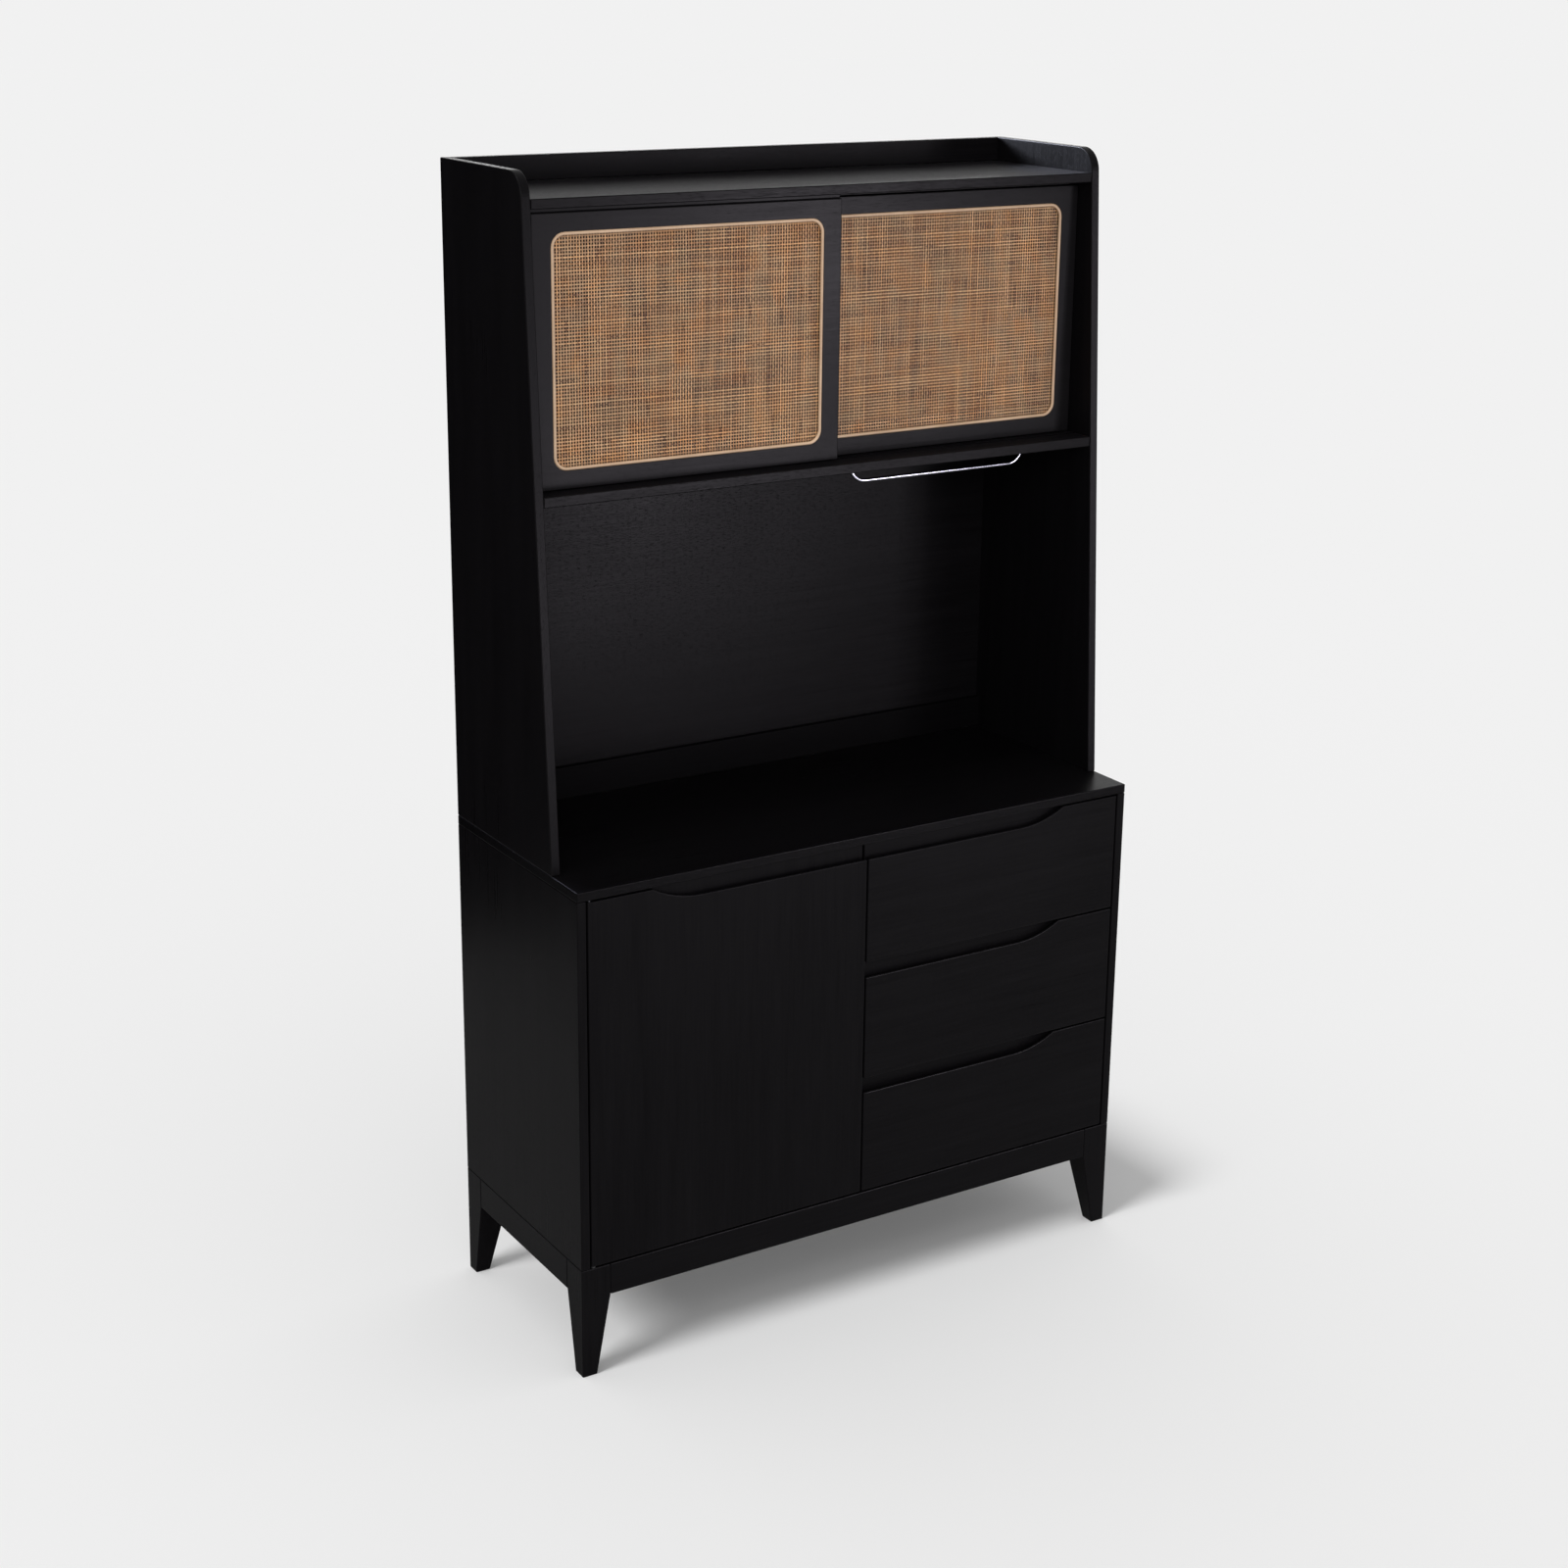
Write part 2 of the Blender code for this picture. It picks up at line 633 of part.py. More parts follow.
def build_hutch(surfaces):
    """Sides, top board, gallery, shelf, back and rail of the hutch."""
    wood = surfaces["black_wood"]
    for name, hand in (("left", -1), ("right", 1)):
        face = hand * HUTCH_INNER_X
        outer = hand * WIDTH / 2
        side = ease(prism(
            "hutch_side_" + name, hutch_side_outline(), "X", min(face, outer), max(face, outer), wood
        ), EASE)
        near = hand * (HUTCH_INNER_X - HUTCH_RABBET)
        far = hand * (HUTCH_INNER_X + HUTCH_RABBET)
        cut(side, board(
            "hutch_rabbet_" + name,
            (min(near, far), HUTCH_BACK_Y - SEAT, WORKTOP_HEIGHT - CUT_PAST),
            (max(near, far), BACK_Y + CUT_PAST, TOP_BOARD_LOW),
            None,
        ))

    across = HUTCH_INNER_X - SEAT
    top_board = ease(board(
        "top_board",
        (-across, FRONT_Y + TOP_BOARD_SETBACK, TOP_BOARD_LOW),
        (across, BACK_Y, TOP_BOARD_HIGH),
        wood,
    ), EASE)
    ease(board(
        "gallery_rail",
        (-across, BACK_Y - GALLERY_THICK, TOP_BOARD_HIGH + SEAT),
        (across, BACK_Y, HUTCH_HEIGHT),
        wood,
    ), EASE)
    shelf = ease(board(
        "hutch_shelf",
        (-across, FRONT_Y + HUTCH_SHELF_SETBACK, HUTCH_SHELF_LOW),
        (across, HUTCH_BACK_Y - SEAT, HUTCH_SHELF_TOP),
        wood,
    ), EASE)
    reach = HUTCH_INNER_X + HUTCH_RABBET - SEAT
    ease(board(
        "hutch_back",
        (-reach, HUTCH_BACK_Y, WORKTOP_HEIGHT + SEAT),
        (reach, BACK_Y - SEAT, TOP_BOARD_LOW - SEAT),
        wood,
    ), EASE_HIDDEN, 1)
    rail_back = HUTCH_BACK_Y - SEAT
    ease(board(
        "niche_rail",
        (-across, rail_back - NICHE_RAIL_THICK, WORKTOP_HEIGHT + SEAT),
        (across, rail_back, WORKTOP_HEIGHT + NICHE_RAIL_HEIGHT),
        wood,
    ), EASE)
    return top_board, shelf


def build_sliding_door(label, low_x, front_y, surfaces, top_board, shelf):
    """A sliding door: its frame, the cane set in it and the beading that holds the cane."""
    high_x = low_x + SLIDER_WIDTH
    back_y = front_y + SLIDER_THICK
    low = HUTCH_SHELF_TOP + SLIDER_LIFT
    high = TOP_BOARD_LOW - SLIDER_HEAD_GAP
    mid_y = (front_y + back_y) / 2
    tongue_front = mid_y - TONGUE_THICK / 2
    tongue_back = mid_y + TONGUE_THICK / 2
    carrier = axis_empty(label + "_slide", Vector(((low_x + high_x) / 2, mid_y, low)))
    tongue_low = low - TONGUE_LOWER
    tongue_high = TOP_BOARD_LOW + TONGUE_UPPER
    section = [
        (front_y, low),
        (tongue_front, low),
        (tongue_front, tongue_low),
        (tongue_back, tongue_low),
        (tongue_back, low),
        (back_y, low),
        (back_y, high),
        (tongue_back, high),
        (tongue_back, tongue_high),
        (tongue_front, tongue_high),
        (tongue_front, high),
        (front_y, high),
    ]
    frame = ease(prism(
        label + "_frame", section, "X", low_x, high_x, surfaces["black_wood"], carrier
    ), EASE)

    open_low = (low_x + STILE, low + RAIL)
    open_high = (high_x - STILE, high - RAIL)

    def inset(amount, radius=CANE_CORNER):
        return rounded_rectangle(
            (open_low[0] + amount, open_low[1] + amount),
            (open_high[0] - amount, open_high[1] - amount),
            radius - amount,
            OPENING_STEPS,
        )

    ledge = front_y + LEDGE_DEPTH
    cut(frame, prism(
        label + "_rebate", inset(0), "Y", front_y - CUT_PAST, ledge, None, carrier
    ))
    cut(frame, prism(
        label + "_opening", inset(LEDGE), "Y", front_y - CUT_PAST, back_y + CUT_PAST, None, carrier
    ))

    cane_back = ledge - SEAT
    cane_front = cane_back - CANE_THICK
    prism(label + "_cane", inset(SEAT), "Y", cane_front, cane_back, surfaces["cane"], carrier)
    bead_path = inset(BEAD_RADIUS + SEAT)
    build_tube(
        label + "_beading",
        [(across, cane_front - SEAT - BEAD_RADIUS, up) for across, up in bead_path],
        BEAD_RADIUS, 2, True, surfaces["beading"], carrier,
    )

    groove_half = TONGUE_THICK / 2 + GROOVE_SIDE_GAP
    across = WIDTH / 2
    cut(shelf, board(
        label + "_lower_groove",
        (-across, mid_y - groove_half, HUTCH_SHELF_TOP - LOWER_GROOVE),
        (across, mid_y + groove_half, HUTCH_SHELF_TOP + CUT_PAST),
        None,
    ))
    cut(top_board, board(
        label + "_upper_groove",
        (-across, mid_y - groove_half, TOP_BOARD_LOW - CUT_PAST),
        (across, mid_y + groove_half, TOP_BOARD_LOW + UPPER_GROOVE),
        None,
    ))


def build_tube(name, points, radius, resolution, closed, surface, carrier=None):
    """A round bar or bead along a path."""
    origin = carrier.location.copy() if carrier else Vector(points[0])
    curve = bpy.data.curves.new(name, "CURVE")
    curve.dimensions = "3D"
    curve.bevel_depth = radius
    curve.bevel_resolution = resolution
    curve.use_fill_caps = not closed
    line = curve.splines.new("POLY")
    line.points.add(len(points) - 1)
    for spot, place in zip(line.points, points):
        spot.co = (*(Vector(place) - origin), 1.0)
    line.use_cyclic_u = closed
    line.use_smooth = True
    return add_object(name, curve, origin, surface, carrier)


def build_bar(surfaces, shelf):
    """The bright bar that hangs under the hutch shelf."""
    depth = FRONT_Y + HUTCH_SHELF_SETBACK + BAR_SETBACK
    right = HUTCH_INNER_X - BAR_SIDE_INSET
    left = right - BAR_SPAN
    low = HUTCH_SHELF_LOW - BAR_DROP
    top = HUTCH_SHELF_LOW + BAR_ROOT
    points = [(left, depth, top)]
    for centre, first in ((left + BAR_BEND, 180), (right - BAR_BEND, 270)):
        for step in range(BAR_BEND_STEPS + 1):
            angle = math.radians(first + 90 * step / BAR_BEND_STEPS)
            across = centre + BAR_BEND * math.cos(angle)
            up = low + BAR_BEND + BAR_BEND * math.sin(angle)
            points.append((across, depth, up))
    points.append((right, depth, top))
    build_tube("hanging_bar", points, BAR_RADIUS, 4, False, surfaces["chrome"])
    for name, across in (("left", left), ("right", right)):
        bore(
            shelf, "hanging_bar_hole_" + name, (across, depth, HUTCH_SHELF_LOW),
            BAR_RADIUS + SEAT, 2 * (BAR_ROOT + SEAT), "Z",
        )


def main():
    clear_scene()
    surfaces = make_finishes()
    worktop, sides, divider = build_base(surfaces)
    legs = build_frame(surfaces)
    build_cupboard_shelf(surfaces, sides, divider)
    build_door(surfaces, worktop, legs["leg_front_left"])
    build_drawers(surfaces)
    top_board, shelf = build_hutch(surfaces)
    front = FRONT_Y + TOP_BOARD_SETBACK + SLIDER_SETBACK
    near = -HUTCH_INNER_X + SLIDER_SIDE_GAP
    far = HUTCH_INNER_X - SLIDER_SIDE_GAP - SLIDER_WIDTH
    build_sliding_door("left_slider", near, front, surfaces, top_board, shelf)
    build_sliding_door("right_slider", far, front + SLIDER_SPACING, surfaces, top_board, shelf)
    build_bar(surfaces, shelf)


main()
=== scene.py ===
"""Looks of the buffet cabinet: stained boards, woven cane, beading, bar, cleat and studio.

The cabinet's solids are the fixed frame. Each operator finishes one group of its pieces, and the
panel in the 3D view's sidebar lists them.
"""

import math

import bmesh
import bpy
from bpy.props import FloatProperty, FloatVectorProperty, IntProperty, PointerProperty
from mathutils import Matrix, Vector


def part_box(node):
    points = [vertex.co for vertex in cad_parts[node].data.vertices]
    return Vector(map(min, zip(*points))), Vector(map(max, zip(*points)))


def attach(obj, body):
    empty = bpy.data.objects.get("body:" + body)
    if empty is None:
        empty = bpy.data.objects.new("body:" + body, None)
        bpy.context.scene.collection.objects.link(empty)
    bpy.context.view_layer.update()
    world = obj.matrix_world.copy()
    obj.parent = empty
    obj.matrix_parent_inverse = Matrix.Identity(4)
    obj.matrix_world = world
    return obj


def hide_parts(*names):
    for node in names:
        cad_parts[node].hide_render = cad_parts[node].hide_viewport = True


bl_info = {
    "name": "Buffet cabinet looks",
    "version": (1, 0, 0),
    "blender": (4, 5, 0),
    "location": "3D View > Sidebar > Cabinet",
    "description": "Finishes the buffet cabinet's boards, cane and fittings, and sets its studio",
    "category": "Object",
}

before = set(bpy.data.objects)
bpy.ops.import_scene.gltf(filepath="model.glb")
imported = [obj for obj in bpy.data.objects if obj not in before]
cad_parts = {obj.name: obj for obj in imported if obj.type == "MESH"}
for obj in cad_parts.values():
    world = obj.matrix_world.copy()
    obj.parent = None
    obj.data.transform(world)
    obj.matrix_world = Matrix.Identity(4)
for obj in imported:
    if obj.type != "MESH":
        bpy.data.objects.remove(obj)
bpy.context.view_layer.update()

UP = Vector((0, 0, 1))
RIGHT = Vector((1, 0, 0))
BACK = Vector((0, 1, 0))
MERGE = 0.00001            # corners nearer than this are joined, in metres

# Boards by the way their grain runs
GRAIN_ACROSS = (
    "apron_front", "apron_back", "drawer_1_front", "drawer_2_front",
    "drawer_3_front", "top_board", "gallery_rail", "hutch_shelf",
)
GRAIN_UP = (
    "base_side_left", "base_side_right", "leg_front_left", "leg_front_right", "leg_back_left",
    "leg_back_right", "cupboard_door", "hutch_side_left", "hutch_side_right",
)
GRAIN_DEEP = ("apron_left", "apron_right")
SLIDER_FRAMES = ("left_slider_frame", "right_slider_frame")
BACK_PANELS = ("hutch_back", "base_back")
INNER_ACROSS = ("base_bottom", "cupboard_shelf")
INNER_UP = ("base_divider",)
DRAWER_ACROSS = ("drawer_1_back", "drawer_2_back", "drawer_3_back")
DRAWER_DEEP = tuple(
    "drawer_%d_%s" % (number, piece)
    for number in (1, 2, 3)
    for piece in ("side_left", "side_right", "bottom", "runner_left", "runner_right")
)
STEEL_PIECES = (
    "door_pin_lower", "door_pin_upper", "shelf_pin_front_left", "shelf_pin_front_right",
    "shelf_pin_back_left", "shelf_pin_back_right",
)
PLASTIC_PIECES = ("door_washer", "magnet_catch")
LOW_PIECES = (
    "leg_front_left", "leg_front_right", "leg_back_left", "leg_back_right", "apron_front",
    "apron_back", "apron_left", "apron_right", "base_bottom",
)

# Finishes of some boards, set against those of the fronts
INNER_STAIN = 1.4          # times as pale, in the dark of the grain
INNER_GRAIN = 1.6          # times as pale, where the stain took less
INNER_DULL = 0.18          # rougher
INNER_GLOSS = 0.6          # times the gloss
PAINTED_SHADE_TONE = 0.6         # times as pale, on the worktop and the niche's rail: painted shade, where less light falls
RAIL_DULL = 0.2
RAIL_GLOSS = 0.5
SLIDER_GRAIN = 1.25
OPEN_PORES = 0.5           # depth of the pores, against the fibres
BACK_PORES = 0.9
SLIDER_PORES = 0.05

# Patterns of the wood: repeats in a metre, across the grain and along it
FIGURE = (26.0, 1.6)
FIBRES = (330.0, 7.0)
PORES = (1500.0, 90.0)
CLOUD = (3.5, 3.5)
FIGURE_SHARE = 0.45
FIBRE_SHARE = 0.55
STAIN_TONES = (0.32, 0.70)     # where the wood is darkest and palest
PORE_EDGES = (0.60, 0.68)      # where a pore begins and where it is open
ROUGH_SPREAD = 0.03
PORE_ROUGH = 0.15
FIBRE_HEIGHT = 0.6

# Patterns of the cane: repeats in a metre, across a strand and along it
STREAKS = (900.0, 14.0)
STAINS = (60.0, 9.0)
PATCHES = (45.0, 22.0)
KNOTS = (130.0, 16.0)
OWN_SHARE = 0.24               # of the tone that each strand has to itself
STREAK_SHARE = 0.33
STAIN_SHARE = 0.64
CANE_TONES = (0.33, 0.59, 0.87)     # where a strand is darkest, middling and palest
PATCH_STOPS = ((0.36, (1.0, 0.87, 0.70)), (0.50, (1.0, 1.0, 1.0)), (0.64, (0.83, 0.90, 0.96)))
KNOT_STOPS = ((0.65, (1.0, 1.0, 1.0)), (0.73, (0.30, 0.24, 0.20)))

# The weave
FLAT = 0.29                    # share of the pitch that a strand lies flat on each side
LIFT = 0.53                    # how far it stands off the middle, in strand thicknesses
CORNER_CUTS = (22.5, 45.0, 67.5)
WEAVE_SMOOTH = math.radians(75)
WANDER = (("wander_across", 0.03, 0.0007, "X"), ("wander_up", 0.02, 0.0006, "Z"))

# Peeled rattan of the beading: repeats in a metre along a run and across it
RATTAN_ALONG = 10.0
RATTAN_ACROSS = 900.0
RATTAN_PATCH = (14.0, 14.0, 14.0)
RATTAN_SHADE = (0.62, 0.55, 0.48)
RATTAN_TONES = (0.34, 0.62)

# Metals: colour, least and greatest roughness, and repeats of their pattern in a metre
CHROME = ((0.25, 0.25, 0.285), 0.12, 0.20, (60.0, 60.0, 60.0))
BLACKENED_STEEL = ((0.05, 0.05, 0.055), 0.30, 0.50, (400.0, 400.0, 1800.0))
PLASTIC_STOPS = ((0.3, (0.012, 0.012, 0.013)), (0.7, (0.020, 0.020, 0.022)))
PLASTIC_SPECKLE = (900.0, 900.0, 900.0)

# Suns: the way to each and its spread in degrees
TOP_SUN = ((-0.22, -0.10, 1.0), 28.0)
FRONT_SUN = ((-0.45, -1.0, 0.45), 30.0)
FLOOR_SUN = ((-1.3, -0.2, 1.0), 22.0)

# Boxes that only glossy surfaces see: name, place, target, width, height, brightness, tint, and
# the one piece that a box lights, or None where it lights all
ROSY = (1.0, 0.93, 1.04)
SOFTBOXES = (
    ("low_box", (1.60, -3.6, 0.52), (0.0, 0.0, 1.4), 0.75, 0.8, 26.0, ROSY, None),
    ("high_box", (2.20, -3.6, 1.35), (0.0, 0.0, 1.7), 0.75, 1.2, 37.0, ROSY, None),
    ("behind_box", (2.7, 3.6, 2.35), (0.2, 0.0, 1.96), 3.4, 0.4, 4.0, (1.0, 1.0, 1.0), None),
    (
        "rim_box", (-1.30, 2.35, 2.80), (0.5, 0.05, 1.94), 1.4, 0.7, 220.0,
        (0.88, 0.92, 1.1), "hutch_side_right",
    ),
    (
        "corner_box", (-1.30, 2.35, 2.80), (0.55, 0.0, 0.86), 1.4, 0.7, 90.0,
        (0.88, 0.88, 1.15), "worktop",
    ),
)

# Cards that only glossy surfaces see: name, place, target, width, height and tone
CARDS = (
    ("left_card", (-1.10, 1.15, 1.30), (-0.55, 0.0, 1.30), 1.8, 2.2, 0.0),
    ("front_card", (3.5, -3.8, 0.004), (3.5, -3.8, 1.0), 2.2, 2.2, 0.0),
    ("floor_card", (-1.25, 0.9, 0.004), (-1.25, 0.9, 1.0), 1.6, 2.4, 0.40),
)

FLOOR_SIZE = 80.0

# The camera that was fitted to the photograph
CAMERA_PLACE = (-2.2898, -3.6134, 2.3080)
CAMERA_TURN = (31.993, 17.042, 0.666)     # yaw, pitch and roll in degrees
CAMERA_SENSOR = 36.0
CAMERA_LENS = 59.316
CAMERA_SHIFT = -0.0375


class BoardSettings(bpy.types.PropertyGroup):
    stain: FloatVectorProperty(
        name="Stain", description="Black stain in the dark of the grain",
        subtype="COLOR", size=3, min=0, max=1, default=(0.0025, 0.0022, 0.0026),
    )
    grain: FloatVectorProperty(
        name="Grain", description="Where the stain took less",
        subtype="COLOR", size=3, min=0, max=1, default=(0.0044, 0.0040, 0.0046),
    )
    slider: FloatVectorProperty(
        name="Sliding door grey", description="Lacquer on the sliding doors' frames",
        subtype="COLOR", size=3, min=0, max=1, default=(0.0056, 0.0051, 0.0057),
    )
    roughness: FloatProperty(
        name="Roughness", description="Of the satin lacquer", min=0, max=1, default=0.32,
    )
    gloss: FloatProperty(
        name="Gloss", description="Strength of the lacquer's reflection", min=0, max=1, default=0.03,
    )
    drawers: FloatProperty(
        name="Drawer boxes", description="How many times paler than the fronts the boxes are",
        min=0, default=3.2,
    )


class CaneSettings(bpy.types.PropertyGroup):
    pitch_across: FloatProperty(
        name="Pitch across", description="Between upright strands", unit="LENGTH",
        min=0.002, default=0.00495,
    )
    pitch_up: FloatProperty(
        name="Pitch up", description="Between level strands", unit="LENGTH",
        min=0.002, default=0.00527,
    )
    strand_width: FloatProperty(
        name="Strand width", description="Of a cane strand", unit="LENGTH",
        min=0.0005, default=0.0020,
    )
    strand_thick: FloatProperty(
        name="Strand thickness", description="Of a cane strand", unit="LENGTH",
        min=0.0002, default=0.0006,
    )
    corner: FloatProperty(
        name="Corner", description="Radius of the panel's corners", unit="LENGTH",
        min=0.001, default=0.0232,
    )
    pale: FloatVectorProperty(
        name="Pale strand", description="Lightest cane", subtype="COLOR", size=3, min=0, max=1,
        default=(0.66, 0.392, 0.196),
    )
    dark: FloatVectorProperty(
        name="Dark strand", description="Darkest cane", subtype="COLOR", size=3, min=0, max=1,
        default=(0.155, 0.070, 0.031),
    )


class BeadingSettings(bpy.types.PropertyGroup):
    corner: FloatProperty(
        name="Corner", description="Radius of the beading's centre line at the corners",
        unit="LENGTH", min=0.001, default=0.021,
    )
    seam: FloatProperty(
        name="Seam", description="Open joint where the beading's ends meet", unit="LENGTH",
        min=0, default=0.0005,
    )
    left_seam: FloatProperty(
        name="Left seam", description="Place of the left panel's seam along its lower run",
        unit="LENGTH", default=-0.105,
    )
    right_seam: FloatProperty(
        name="Right seam", description="Place of the right panel's seam along its lower run",
        unit="LENGTH", default=0.363,
    )
    colour: FloatVectorProperty(
        name="Colour", description="Peeled rattan", subtype="COLOR", size=3, min=0, max=1,
        default=(0.54, 0.375, 0.245),
    )


class BarSettings(bpy.types.PropertyGroup):
    bend: FloatProperty(
        name="Bend", description="Radius of the bar's two bends", unit="LENGTH",
        min=0.001, default=0.030,
    )
    sides: IntProperty(
        name="Roundness", description="Steps round a quarter of the bar", min=1, default=5,
    )


class CleatSettings(bpy.types.PropertyGroup):
    height: FloatProperty(
        name="Height", description="Of the cleat behind the front apron", unit="LENGTH",
        min=0.001, default=0.012,
    )
    reach: FloatProperty(
        name="Reach", description="How far it runs back under the bottom board", unit="LENGTH",
        min=0.001, default=0.010,
    )
    seat: FloatProperty(
        name="Seat", description="Between it and the boards that it touches", unit="LENGTH",
        min=0, default=0.0003,
    )
    edge: FloatProperty(
        name="Edge", description="Bevel along its edges", unit="LENGTH", min=0, default=0.0008,
    )


class StageSettings(bpy.types.PropertyGroup):
    background: FloatProperty(
        name="Background", description="Brightness of the floor and of what lies beyond it",
        min=0, max=1, default=0.88,
    )
    glow: FloatProperty(
        name="Floor glow", description="Part of the floor's brightness that shadows leave",
        min=0, max=1, default=0.07,
    )
    room: FloatProperty(
        name="Room light", description="Level of the light that comes from all round",
        min=0, default=0.56,
    )
    front: FloatProperty(
        name="Front light", description="Level of the light on the cabinet's front",
        min=0, default=0.45,
    )


def select_only(piece):
    """Leave one object selected and active."""
    for other in bpy.context.selected_objects:
        other.select_set(False)
    piece.select_set(True)
    bpy.context.view_layer.objects.active = piece


def start_piece(name):
    """Name what a primitive has just made, and open it in edit mode with its place applied."""
    piece = bpy.context.active_object
    piece.name = name
    piece.data.name = name
    select_only(piece)
    bpy.ops.object.transform_apply(location=True, rotation=True, scale=True)
    bpy.ops.object.mode_set(mode="EDIT")
    return piece


def pick(piece, test):
    """Select, in edit mode, the corners that pass a test of their place."""
    shape = bmesh.from_edit_mesh(piece.data)
    shape.select_mode = {"VERT"}
    for corner in shape.verts:
        corner.select = test(corner.co)
    shape.select_flush_mode()
    bmesh.update_edit_mesh(piece.data)


def close_piece(piece, angle=math.radians(40)):
    """Back to object mode, with faces turned out and smooth."""
    bpy.ops.mesh.select_all(action="SELECT")
    bpy.ops.mesh.normals_make_consistent(inside=False)
    bpy.ops.object.mode_set(mode="OBJECT")
    bpy.ops.object.shade_smooth_by_angle(angle=angle)


def repeat(piece, count, step, merge=False):
    """Copies of a piece in a row, as part of its mesh."""
    row = piece.modifiers.new("row", "ARRAY")
    row.count = count
    row.use_relative_offset = False
    row.use_constant_offset = True
    row.constant_offset_displace = step
    row.use_merge_vertices = merge
    row.merge_threshold = MERGE
    bpy.ops.object.modifier_apply(modifier="row")


def fresh_surface(name):
    """An empty material: its node tree and its shader."""
    surface = bpy.data.materials.new(name)
    surface.use_nodes = True
    tree = surface.node_tree
    return surface, tree, tree.nodes["Principled BSDF"]


def node(tree, kind, settings=None, **inputs):
    """A shader node with its settings, and with its inputs set or wired."""
    item = tree.nodes.new("ShaderNode" + kind)
    for key, value in (settings or {}).items():
        setattr(item, key, value)
    for key, value in inputs.items():
        socket = item.inputs[int(key[1:]) if key[0] == "i" and key[1:].isdigit() else key]
        if isinstance(value, bpy.types.NodeSocket):
            tree.links.new(value, socket)
        else:
            socket.default_value = value
    return item


def calc(tree, operation, first, second=0.0):
    """One sum on two values."""
    return node(tree, "Math", {"operation": operation}, i0=first, i1=second).outputs[0]


def shares(tree, *parts):
    """The sum of several values, each with its share."""
    total = 0.0
    for value, share in parts:
        total = node(
            tree, "Math", {"operation": "MULTIPLY_ADD"}, i0=value, i1=share, i2=total
        ).outputs[0]
    return total


def between(tree, value, low, high, to_low, to_high):
    """A value moved from one range to another, and kept in it."""
    return node(
        tree, "MapRange", None, i0=value, i1=low, i2=high, i3=to_low, i4=to_high
    ).outputs[0]


def ramp(tree, value, stops):
    """A value turned into colour."""
    stops = tuple(stops)
    item = node(tree, "ValToRGB", None, i0=value)
    marks = item.color_ramp.elements
    while len(marks) < len(stops):
        marks.new(0.5)
    for mark, (place, colour) in zip(marks, stops):
        mark.position = place
        mark.color = (*colour, 1.0)
    return item.outputs[0]


def tinted(tree, colour, tint):
    """One colour laid over another as a stain."""
    item = node(
        tree, "Mix", {"data_type": "RGBA", "blend_type": "MULTIPLY"}, i0=1.0, i6=colour, i7=tint
    )
    return item.outputs[2]


def noise(tree, place, stretch, detail, shift=(0, 0, 0), distortion=0.0):
    """A cloud of values, drawn out by an uneven stretch."""
    spot = node(tree, "Mapping", None, i0=place, i1=shift, i3=stretch).outputs[0]
    return node(
        tree, "TexNoise", None, Vector=spot, Scale=1.0, Detail=detail, Distortion=distortion
    ).outputs[0]


def grainwise(along, fine, coarse):
    """A stretch that draws a pattern out along the grain."""
    return tuple(coarse if axis else fine for axis in along)


def fine_relief(tree, shader, height, strength, distance):
    """A relief too fine to model, from a pattern."""
    bump = node(tree, "Bump", None, Strength=strength, Distance=distance, Height=height)
    tree.links.new(bump.outputs[0], shader.inputs["Normal"])


def stained_wood(name, along, dark, light, roughness, gloss, open_pores=OPEN_PORES):
    """Black-stained board: drawn-out figure, fibres and open pores under satin lacquer."""
    surface, tree, shader = fresh_surface(name)
    place = node(tree, "TexCoord").outputs["Object"]
    figure = noise(tree, place, grainwise(along, *FIGURE), 3.0, distortion=0.8)
    fibres = noise(tree, place, grainwise(along, *FIBRES), 4.0, (3.1, 1.7, 5.3))
    pores = noise(tree, place, grainwise(along, *PORES), 1.0, (7.0, 2.0, 4.0))
    cloud = noise(tree, place, grainwise(along, *CLOUD), 2.0, (1.0, 9.0, 2.0))
    tone = shares(tree, (figure, FIGURE_SHARE), (fibres, FIBRE_SHARE))
    colour = ramp(tree, tone, zip(STAIN_TONES, (dark, light)))
    tree.links.new(colour, shader.inputs["Base Color"])
    pits = between(tree, pores, *PORE_EDGES, 0.0, 1.0)
    fibre_rough = between(tree, fibres, 0.3, 0.7, -ROUGH_SPREAD, ROUGH_SPREAD)
    cloud_rough = between(
        tree, cloud, 0.3, 0.7, roughness - ROUGH_SPREAD, roughness + ROUGH_SPREAD
    )
    rough = shares(tree, (fibre_rough, 1.0), (cloud_rough, 1.0), (pits, PORE_ROUGH))
    tree.links.new(rough, shader.inputs["Roughness"])
    height = shares(tree, (fibres, FIBRE_HEIGHT), (pits, -open_pores))
    fine_relief(tree, shader, height, 0.28, 0.00025)
    shader.inputs["Specular IOR Level"].default_value = gloss
    return surface


def paler(colour, factor):
    """A colour made paler, or darker by a factor under 1."""
    return [value * factor for value in colour]


def paint_nodes(names, surface):
    """Give CAD pieces a material."""
    for name in names:
        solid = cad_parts[name]
        for place in solid.material_slots:
            place.material = surface


